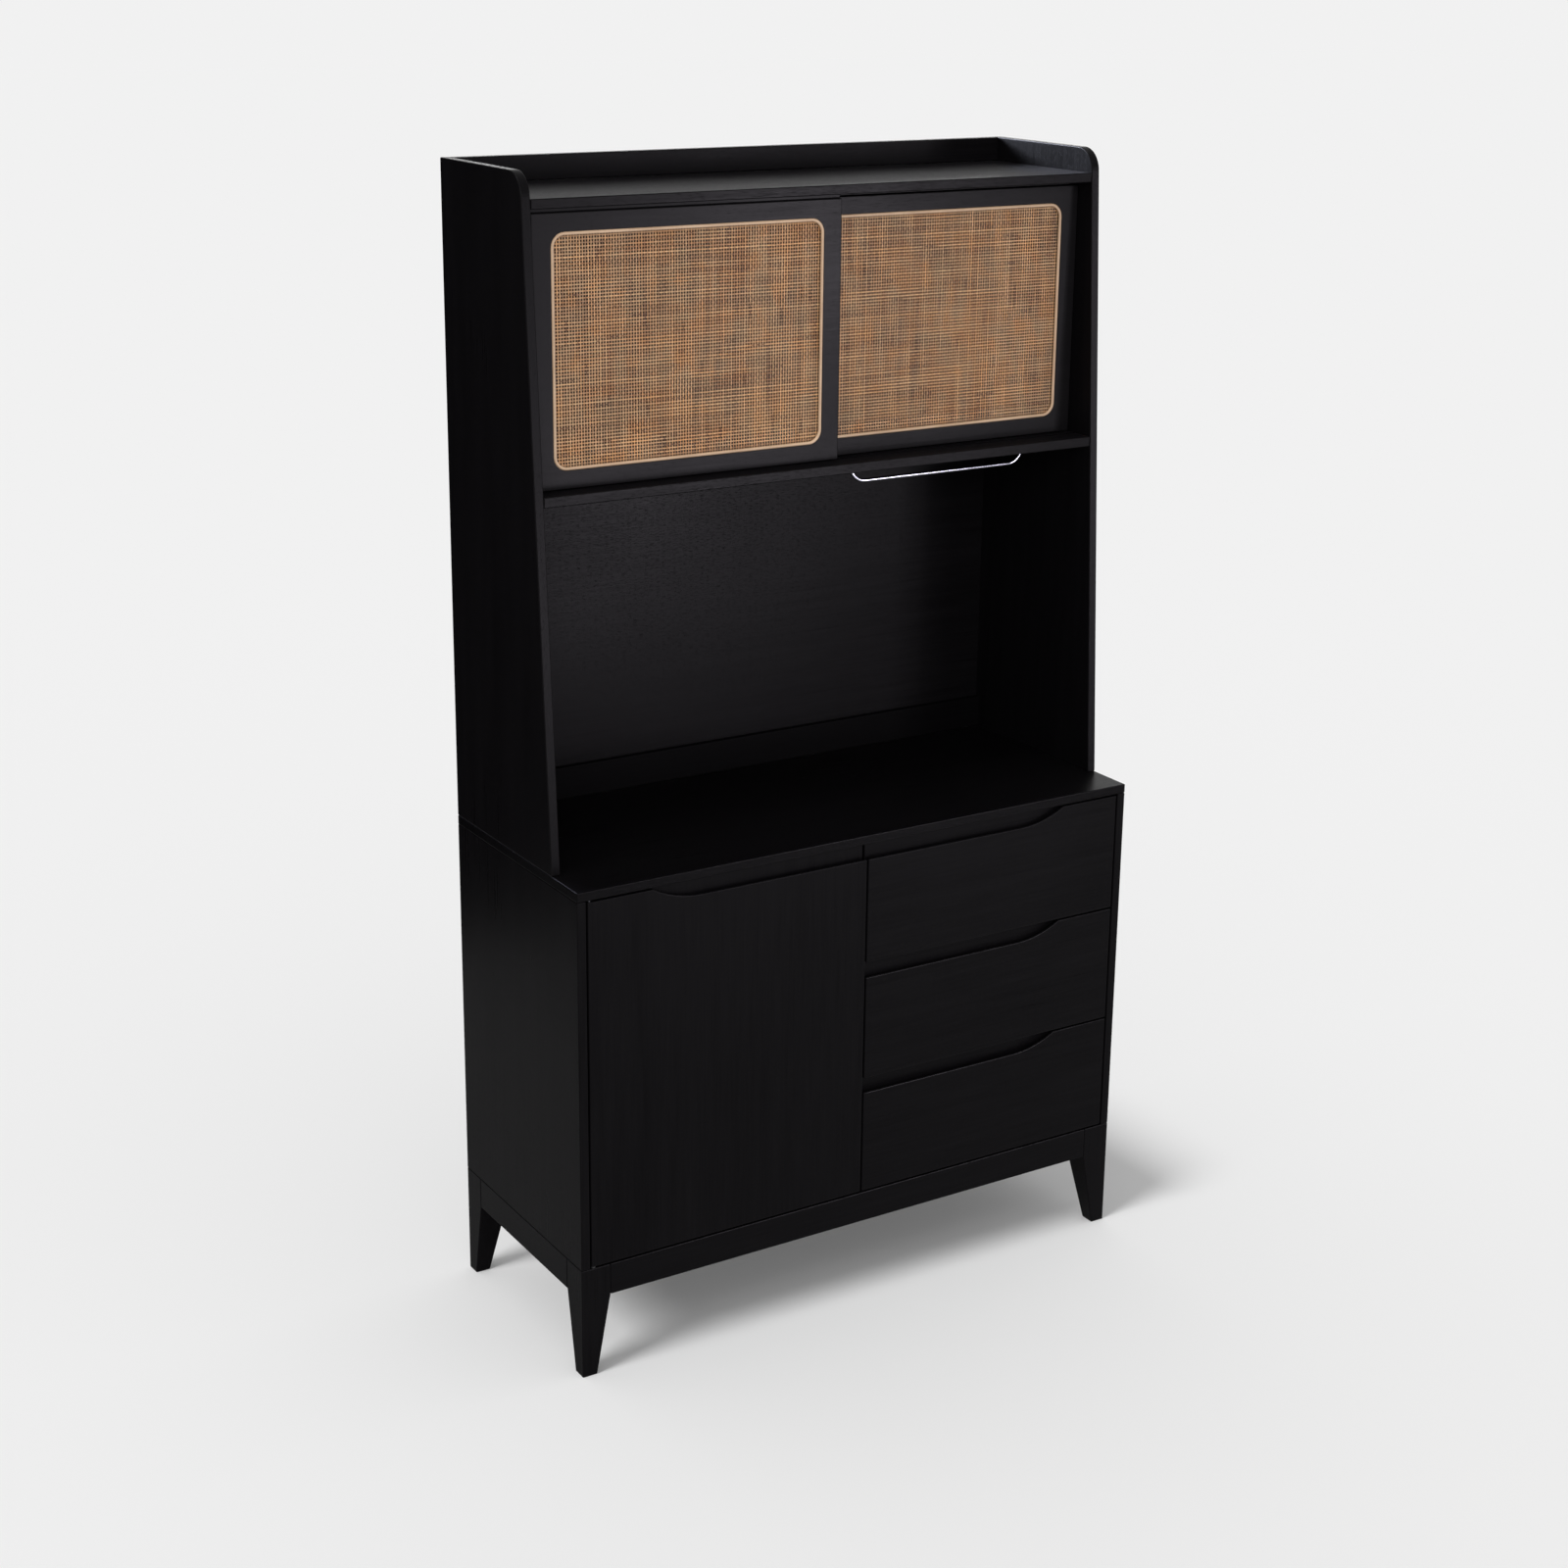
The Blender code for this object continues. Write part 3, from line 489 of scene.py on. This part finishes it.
class CABINET_OT_stain_boards(bpy.types.Operator):
    """Stain and lacquer every board, with painted shade darkening the worktop and the niche's rail
    """

    bl_idname = "cabinet.stain_boards"
    bl_label = "Stain the boards"
    bl_options = {"REGISTER", "UNDO"}

    def execute(self, context):
        look = context.scene.cabinet_boards
        shown = (tuple(look.stain), tuple(look.grain), look.roughness, look.gloss)
        hidden = (
            paler(look.stain, INNER_STAIN), paler(look.grain, INNER_GRAIN),
            look.roughness + INNER_DULL, look.gloss * INNER_GLOSS,
        )
        boxes = (
            paler(look.stain, look.drawers), paler(look.grain, look.drawers),
            look.roughness + INNER_DULL, look.gloss,
        )
        for label, along, names, looks in (
            ("wood_across", RIGHT, GRAIN_ACROSS, shown),
            ("wood_upright", UP, GRAIN_UP, shown),
            ("wood_deep", BACK, GRAIN_DEEP, shown),
            ("inner_wood_across", RIGHT, INNER_ACROSS, hidden),
            ("inner_wood_upright", UP, INNER_UP, hidden),
            ("drawer_wood_across", RIGHT, DRAWER_ACROSS, boxes),
            ("drawer_wood_deep", BACK, DRAWER_DEEP, boxes),
        ):
            paint_nodes(names, stained_wood(label, along, *looks))
        paint_nodes(BACK_PANELS, stained_wood("wood_back_panel", RIGHT, *shown, BACK_PORES))
        # Painted shade: the worktop's and the niche rail's stain is made darker, for the light that
        # falls less on them
        shaded_stain = paler(look.stain, PAINTED_SHADE_TONE)
        shaded_grain = paler(look.grain, PAINTED_SHADE_TONE)
        paint_nodes(("worktop",), stained_wood(
            "wood_worktop_painted_shade", RIGHT, shaded_stain, shaded_grain, look.roughness, look.gloss,
        ))
        # The niche's rail: the worktop's darker stain as painted shade at the foot of the niche, and
        # a rougher, duller lacquer
        paint_nodes(("niche_rail",), stained_wood(
            "wood_niche_rail_painted_shade", RIGHT, shaded_stain, shaded_grain,
            look.roughness + RAIL_DULL, look.gloss * RAIL_GLOSS,
        ))
        paint_nodes(SLIDER_FRAMES, stained_wood(
            "wood_sliding_door", RIGHT, tuple(look.slider), paler(look.slider, SLIDER_GRAIN),
            look.roughness, look.gloss, SLIDER_PORES,
        ))
        return {"FINISHED"}


def cane_surface(name, along, across, origin, pitch, look):
    """Cane whose tone changes from strand to strand and in streaks along each."""
    surface, tree, shader = fresh_surface(name)
    place = node(tree, "TexCoord").outputs["Object"]
    axes = node(tree, "SeparateXYZ", None, Vector=place)
    here = axes.outputs[0] if across.x else axes.outputs[2]
    number = calc(tree, "FLOOR", calc(tree, "DIVIDE", calc(tree, "SUBTRACT", here, origin), pitch))
    own = node(tree, "TexWhiteNoise", {"noise_dimensions": "1D"}, W=number).outputs[0]
    streak = noise(tree, place, grainwise(along, *STREAKS), 2.0, (2.0, 5.0, 1.0))
    stain = noise(tree, place, grainwise(along, *STAINS), 3.0, (8.0, 3.0, 6.0))
    tone = shares(tree, (own, OWN_SHARE), (streak, STREAK_SHARE), (stain, STAIN_SHARE))
    middle = [(pale + dark) / 2 for pale, dark in zip(look.pale, look.dark)]
    colour = ramp(tree, tone, zip(CANE_TONES, (look.dark, middle, look.pale)))
    patch = noise(tree, place, grainwise(along, *PATCHES), 2.0, (6.0, 2.0, 9.0))
    colour = tinted(tree, colour, ramp(tree, patch, PATCH_STOPS))
    knot = noise(tree, place, grainwise(along, *KNOTS), 1.0, (1.0, 4.0, 3.0))
    colour = tinted(tree, colour, ramp(tree, knot, KNOT_STOPS))
    tree.links.new(colour, shader.inputs["Base Color"])
    tree.links.new(between(tree, streak, 0.3, 0.7, 0.45, 0.65), shader.inputs["Roughness"])
    fine_relief(tree, shader, streak, 0.3, 0.0001)
    shader.inputs["Specular IOR Level"].default_value = 0.3
    return surface


def weave_strands(name, run, across, low, high, depth, pitch_run, pitch_across, look, over):
    """One set of a panel's strands, each over and under those that it crosses.

    run and across are the panel's two directions. low and high are the panel's corners, and over
    is +1 where the first strand starts in front of its first crossing, or -1 behind it.
    """
    reach = (high - low).dot(run)
    wide = (high - low).dot(across)
    count = round(wide / pitch_across)
    first = low + across * (pitch_across / 2) - run * (2 * pitch_run)
    front = -BACK * over
    rise = look.strand_thick * LIFT
    centre = first + front * rise + run * (pitch_run * (0.5 - FLAT)) + BACK * depth
    spin = (0.0, 0.0, math.pi) if run.z else (0.0, math.pi / 2, 0.0)
    bpy.ops.mesh.primitive_circle_add(
        vertices=5, radius=1.0, fill_type="NOTHING", location=centre, rotation=spin,
    )
    piece = start_piece(name)
    # A pentagon in a circle of radius 1 is 2 cos 18 degrees wide and 1 + cos 36 degrees high
    spread = look.strand_width / 2 / math.cos(math.radians(18))
    thick = look.strand_thick / (1 + math.cos(math.radians(36)))
    size = across * spread + BACK * thick + run
    bpy.ops.transform.resize(
        value=(abs(size.x), abs(size.y), abs(size.z)), center_override=centre
    )
    slope = 1 - 2 * FLAT
    for along, side in ((2 * FLAT, 0.0), (slope, -2.0), (2 * FLAT, 0.0), (slope, 2.0)):
        move = run * (along * pitch_run) + front * (side * rise)
        bpy.ops.mesh.extrude_region_move(TRANSFORM_OT_translate={"value": move})
    bpy.ops.object.mode_set(mode="OBJECT")
    repeat(piece, int(reach / pitch_run / 2) + 3, run * (2 * pitch_run), True)
    bpy.ops.object.mode_set(mode="EDIT")
    bpy.ops.mesh.select_all(action="SELECT")
    bpy.ops.mesh.duplicate_move(
        TRANSFORM_OT_translate={"value": across * pitch_across + run * pitch_run}
    )
    for edge, way in ((low, -run), (high, run)):
        bpy.ops.mesh.select_all(action="SELECT")
        bpy.ops.mesh.bisect(plane_co=edge, plane_no=way, use_fill=True, clear_outer=True)
    bpy.ops.object.mode_set(mode="OBJECT")
    repeat(piece, math.ceil(count / 2), across * (2 * pitch_across))
    bpy.ops.object.mode_set(mode="EDIT")
    round_corners(piece, low, high, look.corner)
    close_piece(piece, WEAVE_SMOOTH)
    return piece


def round_corners(piece, low, high, radius):
    """Cut a woven panel's four corners to an arc."""
    for across in (-1, 1):
        for up in (-1, 1):
            edge = Vector((high.x if across > 0 else low.x, 0, high.z if up > 0 else low.z))
            centre = edge - Vector((across * radius, 0, up * radius))
            for angle in CORNER_CUTS:
                turn = math.radians(angle)
                way = Vector((across * math.cos(turn), 0, up * math.sin(turn)))
                pick(piece, lambda spot: min(
                    (spot.x - centre.x) * across, (spot.z - centre.z) * up
                ) > -radius / 2)
                bpy.ops.mesh.bisect(
                    plane_co=centre + way * radius, plane_no=way, use_fill=True, clear_outer=True
                )


def roughen(piece, name, size, strength, direction):
    """Small unevenness of natural cane, from a cloud pattern of this size and depth."""
    cloud = bpy.data.textures.new(name, "CLOUDS")
    cloud.noise_scale = size
    change = piece.modifiers.new(name, "DISPLACE")
    change.texture = cloud
    change.texture_coords = "LOCAL"
    change.direction = direction
    change.strength = strength
    change.mid_level = 0.5
    select_only(piece)
    bpy.ops.object.modifier_apply(modifier=name)


class CABINET_OT_weave_cane(bpy.types.Operator):
    """Weave the cane of both sliding doors"""

    bl_idname = "cabinet.weave_cane"
    bl_label = "Weave the cane"
    bl_options = {"REGISTER", "UNDO"}

    def execute(self, context):
        look = context.scene.cabinet_cane
        for door in ("left_slider", "right_slider"):
            low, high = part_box(door + "_cane")
            depth = (low.y + high.y) / 2
            low.y = high.y = 0.0
            pitch_across = (high.x - low.x) / round((high.x - low.x) / look.pitch_across)
            pitch_up = (high.z - low.z) / round((high.z - low.z) / look.pitch_up)
            warp = weave_strands(
                door + "_cane_upright", UP, RIGHT, low, high, depth, pitch_up, pitch_across, look, 1
            )
            weft = weave_strands(
                door + "_cane_level", RIGHT, UP, low, high, depth, pitch_across, pitch_up, look, -1
            )
            for piece, along, across, origin, pitch in (
                (warp, UP, RIGHT, low.x, pitch_across), (weft, RIGHT, UP, low.z, pitch_up)
            ):
                for wander in WANDER:
                    roughen(piece, *wander)
                piece.data.materials.append(
                    cane_surface(piece.name, along, across, origin, pitch, look)
                )
                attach(piece, door)
            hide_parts(door + "_cane")
        return {"FINISHED"}


def rattan_surface(look):
    """Peeled rattan: pale, with streaks that follow each run of the beading."""
    surface, tree, shader = fresh_surface("beading_rattan")
    place = node(tree, "TexCoord").outputs["Object"]
    level = noise(tree, place, (RATTAN_ALONG, RATTAN_ACROSS, RATTAN_ACROSS), 3.0)
    upright = noise(tree, place, (RATTAN_ACROSS, RATTAN_ACROSS, RATTAN_ALONG), 3.0)
    streak = shares(tree, (level, 0.5), (upright, 0.5))
    patch = noise(tree, place, RATTAN_PATCH, 2.0, (4.0, 1.0, 7.0))
    tone = shares(tree, (streak, 0.6), (patch, 0.4))
    shade = [value * factor for value, factor in zip(look.colour, RATTAN_SHADE)]
    colour = ramp(tree, tone, zip(RATTAN_TONES, (shade, tuple(look.colour))))
    tree.links.new(colour, shader.inputs["Base Color"])
    tree.links.new(between(tree, streak, 0.35, 0.65, 0.38, 0.55), shader.inputs["Roughness"])
    fine_relief(tree, shader, streak, 0.3, 0.00015)
    shader.inputs["Specular IOR Level"].default_value = 0.35
    return surface


def tube_from_edges(piece, radius, steps):
    """Turn a piece's edges into a round tube with closed ends."""
    bpy.ops.object.mode_set(mode="OBJECT")
    bpy.ops.object.convert(target="CURVE")
    line = piece.data
    line.dimensions = "3D"
    line.bevel_depth = radius
    line.bevel_resolution = steps
    line.use_fill_caps = True
    bpy.ops.object.convert(target="MESH")
    bpy.ops.object.mode_set(mode="EDIT")
    bpy.ops.mesh.select_all(action="SELECT")
    bpy.ops.mesh.remove_doubles(threshold=MERGE)
    close_piece(piece)


class CABINET_OT_lay_beading(bpy.types.Operator):
    """Lay the beading round both cane panels"""

    bl_idname = "cabinet.lay_beading"
    bl_label = "Lay the beading"
    bl_options = {"REGISTER", "UNDO"}

    def execute(self, context):
        look = context.scene.cabinet_beading
        surface = rattan_surface(look)
        for door, seam in (("left_slider", look.left_seam), ("right_slider", look.right_seam)):
            low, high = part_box(door + "_beading")
            radius = (high.y - low.y) / 2
            middle = (low + high) / 2
            bpy.ops.mesh.primitive_plane_add(
                size=1.0, location=middle, rotation=(math.pi / 2, 0.0, 0.0)
            )
            piece = start_piece(door + "_rattan_beading")
            bpy.ops.transform.resize(
                value=(high.x - low.x - 2 * radius, 1.0, high.z - low.z - 2 * radius),
                center_override=middle,
            )
            bpy.ops.mesh.bevel(affect="VERTICES", offset=look.corner, segments=10)
            bpy.ops.mesh.select_all(action="SELECT")
            bpy.ops.mesh.delete(type="ONLY_FACE")
            for side in (-1, 1):
                bpy.ops.mesh.select_all(action="SELECT")
                bpy.ops.mesh.bisect(
                    plane_co=(seam + side * look.seam / 2, 0.0, 0.0), plane_no=(1.0, 0.0, 0.0)
                )
            pick(piece, lambda spot: abs(spot.x - seam) < look.seam and spot.z < middle.z)
            bpy.ops.mesh.delete(type="EDGE")
            tube_from_edges(piece, radius, 5)
            piece.data.materials.append(surface)
            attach(piece, door)
            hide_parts(door + "_beading")
        return {"FINISHED"}


def metal_surface(name, colour, low, high, scale):
    """Metal whose polish wavers a little."""
    surface, tree, shader = fresh_surface(name)
    place = node(tree, "TexCoord").outputs["Object"]
    waver = noise(tree, place, scale, 3.0)
    tree.links.new(between(tree, waver, 0.3, 0.7, low, high), shader.inputs["Roughness"])
    shader.inputs["Base Color"].default_value = (*colour, 1.0)
    shader.inputs["Metallic"].default_value = 1.0
    return surface


class CABINET_OT_bend_bar(bpy.types.Operator):
    """Bend the bright bar that hangs under the hutch shelf"""

    bl_idname = "cabinet.bend_bar"
    bl_label = "Bend the bar"
    bl_options = {"REGISTER", "UNDO"}

    def execute(self, context):
        look = context.scene.cabinet_bar
        low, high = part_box("hanging_bar")
        radius = (high.y - low.y) / 2
        bottom = low.z + radius
        middle = Vector(((low.x + high.x) / 2, (low.y + high.y) / 2, (bottom + high.z) / 2))
        bpy.ops.mesh.primitive_plane_add(
            size=1.0, location=middle, rotation=(math.pi / 2, 0.0, 0.0)
        )
        piece = start_piece("chrome_bar")
        bpy.ops.transform.resize(
            value=(high.x - low.x - 2 * radius, 1.0, high.z - bottom), center_override=middle
        )
        pick(piece, lambda spot: spot.z < middle.z)
        bpy.ops.mesh.bevel(affect="VERTICES", offset=look.bend, segments=12)
        bpy.ops.mesh.select_all(action="SELECT")
        bpy.ops.mesh.delete(type="ONLY_FACE")
        pick(piece, lambda spot: spot.z > high.z - radius)
        bpy.ops.mesh.delete(type="EDGE")
        tube_from_edges(piece, radius, look.sides)
        piece.data.materials.append(metal_surface("chrome_bar", *CHROME))
        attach(piece, "cabinet")
        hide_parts("hanging_bar")
        return {"FINISHED"}


class CABINET_OT_fit_cleat(bpy.types.Operator):
    """Fit the cleat that closes the slot between the front apron and the bottom board"""

    bl_idname = "cabinet.fit_cleat"
    bl_label = "Fit the cleat"
    bl_options = {"REGISTER", "UNDO"}

    def execute(self, context):
        look = context.scene.cabinet_cleat
        apron_low, apron_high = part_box("apron_front")
        board_low, board_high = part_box("base_bottom")
        top = board_low.z - look.seat
        low = Vector((apron_low.x, apron_high.y + look.seat, top - look.height))
        high = Vector((apron_high.x, board_low.y + look.reach, top))
        bpy.ops.mesh.primitive_cube_add(size=1.0, location=(low + high) / 2, scale=high - low)
        piece = start_piece("apron_cleat")
        bpy.ops.mesh.bevel(affect="EDGES", offset=look.edge, segments=2)
        close_piece(piece)
        piece.data.materials.append(bpy.data.materials["inner_wood_across"])
        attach(piece, "cabinet")
        return {"FINISHED"}


class CABINET_OT_finish_fittings(bpy.types.Operator):
    """Blacken the steel pins and mould the plastic pieces"""

    bl_idname = "cabinet.finish_fittings"
    bl_label = "Finish the fittings"
    bl_options = {"REGISTER", "UNDO"}

    def execute(self, context):
        paint_nodes(STEEL_PIECES, metal_surface("blackened_steel", *BLACKENED_STEEL))
        surface, tree, shader = fresh_surface("moulded_plastic")
        place = node(tree, "TexCoord").outputs["Object"]
        speckle = noise(tree, place, PLASTIC_SPECKLE, 2.0)
        tree.links.new(ramp(tree, speckle, PLASTIC_STOPS), shader.inputs["Base Color"])
        tree.links.new(between(tree, speckle, 0.3, 0.7, 0.42, 0.60), shader.inputs["Roughness"])
        fine_relief(tree, shader, speckle, 0.2, 0.0001)
        shader.inputs["Specular IOR Level"].default_value = 0.3
        paint_nodes(PLASTIC_PIECES, surface)
        return {"FINISHED"}


def aim(thing, place, target):
    """Put a lamp or camera at a place and turn it to a target."""
    turn = (Vector(target) - Vector(place)).to_track_quat("-Z", "Y")
    thing.matrix_world = Matrix.Translation(place) @ turn.to_matrix().to_4x4()


def add_sun(name, way, level, spread):
    """A broad distant light that gives a facing white surface this level."""
    bpy.ops.object.light_add(type="SUN")
    lamp = bpy.context.active_object
    lamp.name = name
    lamp.data.energy = level * math.pi
    lamp.data.angle = math.radians(spread)
    aim(lamp, Vector(way).normalized() * 5.0, (0.0, 0.0, 0.0))
    return lamp


def sun_level(way, level):
    """The level that a sun from this way needs, to give the floor the level asked for."""
    return level / Vector(way).normalized().z


def add_softbox(name, place, target, wide, tall, brightness, tint, only):
    """A box that is only seen in glossy surfaces, of one piece or of all."""
    bpy.ops.object.light_add(type="AREA")
    lamp = bpy.context.active_object
    lamp.name = name
    lamp.data.shape = "RECTANGLE"
    lamp.data.size = wide
    lamp.data.size_y = tall
    lamp.data.energy = brightness * math.pi * wide * tall
    lamp.data.color = tint
    lamp.visible_diffuse = False
    lamp.visible_camera = False
    aim(lamp, place, target)
    if only:
        lamp.light_linking.receiver_collection = gather(name + "_lit", [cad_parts[only]])


def add_card(name, place, target, wide, tall, tone):
    """A dark or grey card that is only seen in glossy surfaces, to keep a sheen down."""
    bpy.ops.mesh.primitive_plane_add(size=1.0)
    card = bpy.context.active_object
    card.name = name
    surface, tree, shader = fresh_surface(name)
    shader.inputs["Base Color"].default_value = (tone, tone, tone, 1.0)
    shader.inputs["Specular IOR Level"].default_value = 0.0
    card.data.materials.append(surface)
    card.visible_camera = False
    card.visible_diffuse = False
    card.visible_shadow = False
    card.visible_transmission = False
    aim(card, place, target)
    card.scale = (wide, tall, 1.0)


def gather(name, members):
    """A group of objects, for a lamp to single out."""
    group = bpy.data.collections.new(name)
    for member in members:
        group.objects.link(member)
    return group


def lit_room(background, room):
    """A pale room to the camera, gloss and glass, and a softer level of light on the rest."""
    world = bpy.data.worlds.new("studio_room")
    world.use_nodes = True
    bpy.context.scene.world = world
    tree = world.node_tree
    tree.nodes.clear()
    rays = node(tree, "LightPath")
    seen = calc(tree, "MAXIMUM", rays.outputs["Is Camera Ray"], calc(
        tree, "MAXIMUM", rays.outputs["Is Glossy Ray"], rays.outputs["Is Transmission Ray"]
    ))
    shown = node(tree, "Background", None, Color=(background, background, background, 1.0))
    light = node(tree, "Background", None, Color=(room, room, room, 1.0))
    mix = node(tree, "MixShader", None, i0=seen, i1=light.outputs[0], i2=shown.outputs[0])
    node(tree, "OutputWorld", None, Surface=mix.outputs[0])


class CABINET_OT_set_stage(bpy.types.Operator):
    """Set the floor, the lights and the camera"""

    bl_idname = "cabinet.set_stage"
    bl_label = "Set the stage"
    bl_options = {"REGISTER", "UNDO"}

    def execute(self, context):
        look = context.scene.cabinet_stage
        scene = context.scene
        scene.view_settings.view_transform = "Standard"
        lit_room(look.background, look.room)

        bpy.ops.mesh.primitive_plane_add(size=FLOOR_SIZE, location=(0.0, 0.0, 0.0))
        floor = bpy.context.active_object
        floor.name = "studio_floor"
        surface, tree, shader = fresh_surface("studio_floor")
        tone = look.background - look.glow
        shader.inputs["Base Color"].default_value = (tone, tone, tone, 1.0)
        shader.inputs["Emission Color"].default_value = (1.0, 1.0, 1.0, 1.0)
        shader.inputs["Emission Strength"].default_value = look.glow
        shader.inputs["Roughness"].default_value = 1.0
        shader.inputs["Specular IOR Level"].default_value = 0.0
        floor.data.materials.append(surface)

        # The suns on the cabinet leave the floor out, and the floor has one of its own, so that
        # its shadow is as short as the leg frame's
        way, spread = TOP_SUN
        top = add_sun("top_light", way, sun_level(way, 1.0 - look.room), spread)
        way, spread = FRONT_SUN
        front = add_sun("front_light", way, look.front, spread)
        kept_off = gather("kept_off_the_floor", [floor])
        for member in kept_off.collection_objects:
            member.light_linking.link_state = "EXCLUDE"
        front.light_linking.receiver_collection = kept_off
        top.light_linking.receiver_collection = kept_off
        way, spread = FLOOR_SUN
        side = add_sun("floor_light", way, sun_level(way, 1.0 - look.room), spread)
        side.light_linking.receiver_collection = gather("floor_alone", [floor])
        side.light_linking.blocker_collection = gather(
            "low_pieces", [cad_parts[name] for name in LOW_PIECES]
        )

        for box in SOFTBOXES:
            add_softbox(*box)
        for card in CARDS:
            add_card(*card)

        bpy.ops.object.camera_add()
        camera = bpy.context.active_object
        camera.name = "photo_camera"
        camera.data.sensor_width = CAMERA_SENSOR
        camera.data.lens = CAMERA_LENS
        camera.data.shift_y = CAMERA_SHIFT
        yaw, pitch, roll = (math.radians(angle) for angle in CAMERA_TURN)
        camera.matrix_world = (
            Matrix.Translation(CAMERA_PLACE)
            @ Matrix.Rotation(-yaw, 4, "Z")
            @ Matrix.Rotation(math.pi / 2 - pitch, 4, "X")
            @ Matrix.Rotation(roll, 4, "Z")
        )
        scene.camera = camera
        return {"FINISHED"}


class CABINET_PT_looks(bpy.types.Panel):
    """The cabinet's finishes, one button for each group of pieces"""

    bl_label = "Buffet cabinet"
    bl_idname = "CABINET_PT_looks"
    bl_space_type = "VIEW_3D"
    bl_region_type = "UI"
    bl_category = "Cabinet"

    def draw(self, context):
        for group, step in STEPS:
            box = self.layout.box()
            box.operator(step.bl_idname)
            if group is None:
                continue
            settings = getattr(context.scene, group)
            for key in settings.__annotations__:
                box.prop(settings, key)


SETTINGS = {
    "cabinet_boards": BoardSettings,
    "cabinet_cane": CaneSettings,
    "cabinet_beading": BeadingSettings,
    "cabinet_bar": BarSettings,
    "cabinet_cleat": CleatSettings,
    "cabinet_stage": StageSettings,
}
STEPS = (
    ("cabinet_boards", CABINET_OT_stain_boards),
    ("cabinet_cane", CABINET_OT_weave_cane),
    ("cabinet_beading", CABINET_OT_lay_beading),
    ("cabinet_bar", CABINET_OT_bend_bar),
    ("cabinet_cleat", CABINET_OT_fit_cleat),
    (None, CABINET_OT_finish_fittings),
    ("cabinet_stage", CABINET_OT_set_stage),
)


def register():
    for name, group in SETTINGS.items():
        bpy.utils.register_class(group)
        setattr(bpy.types.Scene, name, PointerProperty(type=group))
    for _, step in STEPS:
        bpy.utils.register_class(step)
    bpy.utils.register_class(CABINET_PT_looks)


def unregister():
    bpy.utils.unregister_class(CABINET_PT_looks)
    for _, step in reversed(STEPS):
        bpy.utils.unregister_class(step)
    for name, group in reversed(SETTINGS.items()):
        delattr(bpy.types.Scene, name)
        bpy.utils.unregister_class(group)


def main():
    register()
    bpy.ops.cabinet.set_stage()
    bpy.ops.cabinet.stain_boards()
    bpy.ops.cabinet.weave_cane()
    bpy.ops.cabinet.lay_beading()
    bpy.ops.cabinet.bend_bar()
    bpy.ops.cabinet.fit_cleat()
    bpy.ops.cabinet.finish_fittings()


if __name__ == "__main__":
    main()
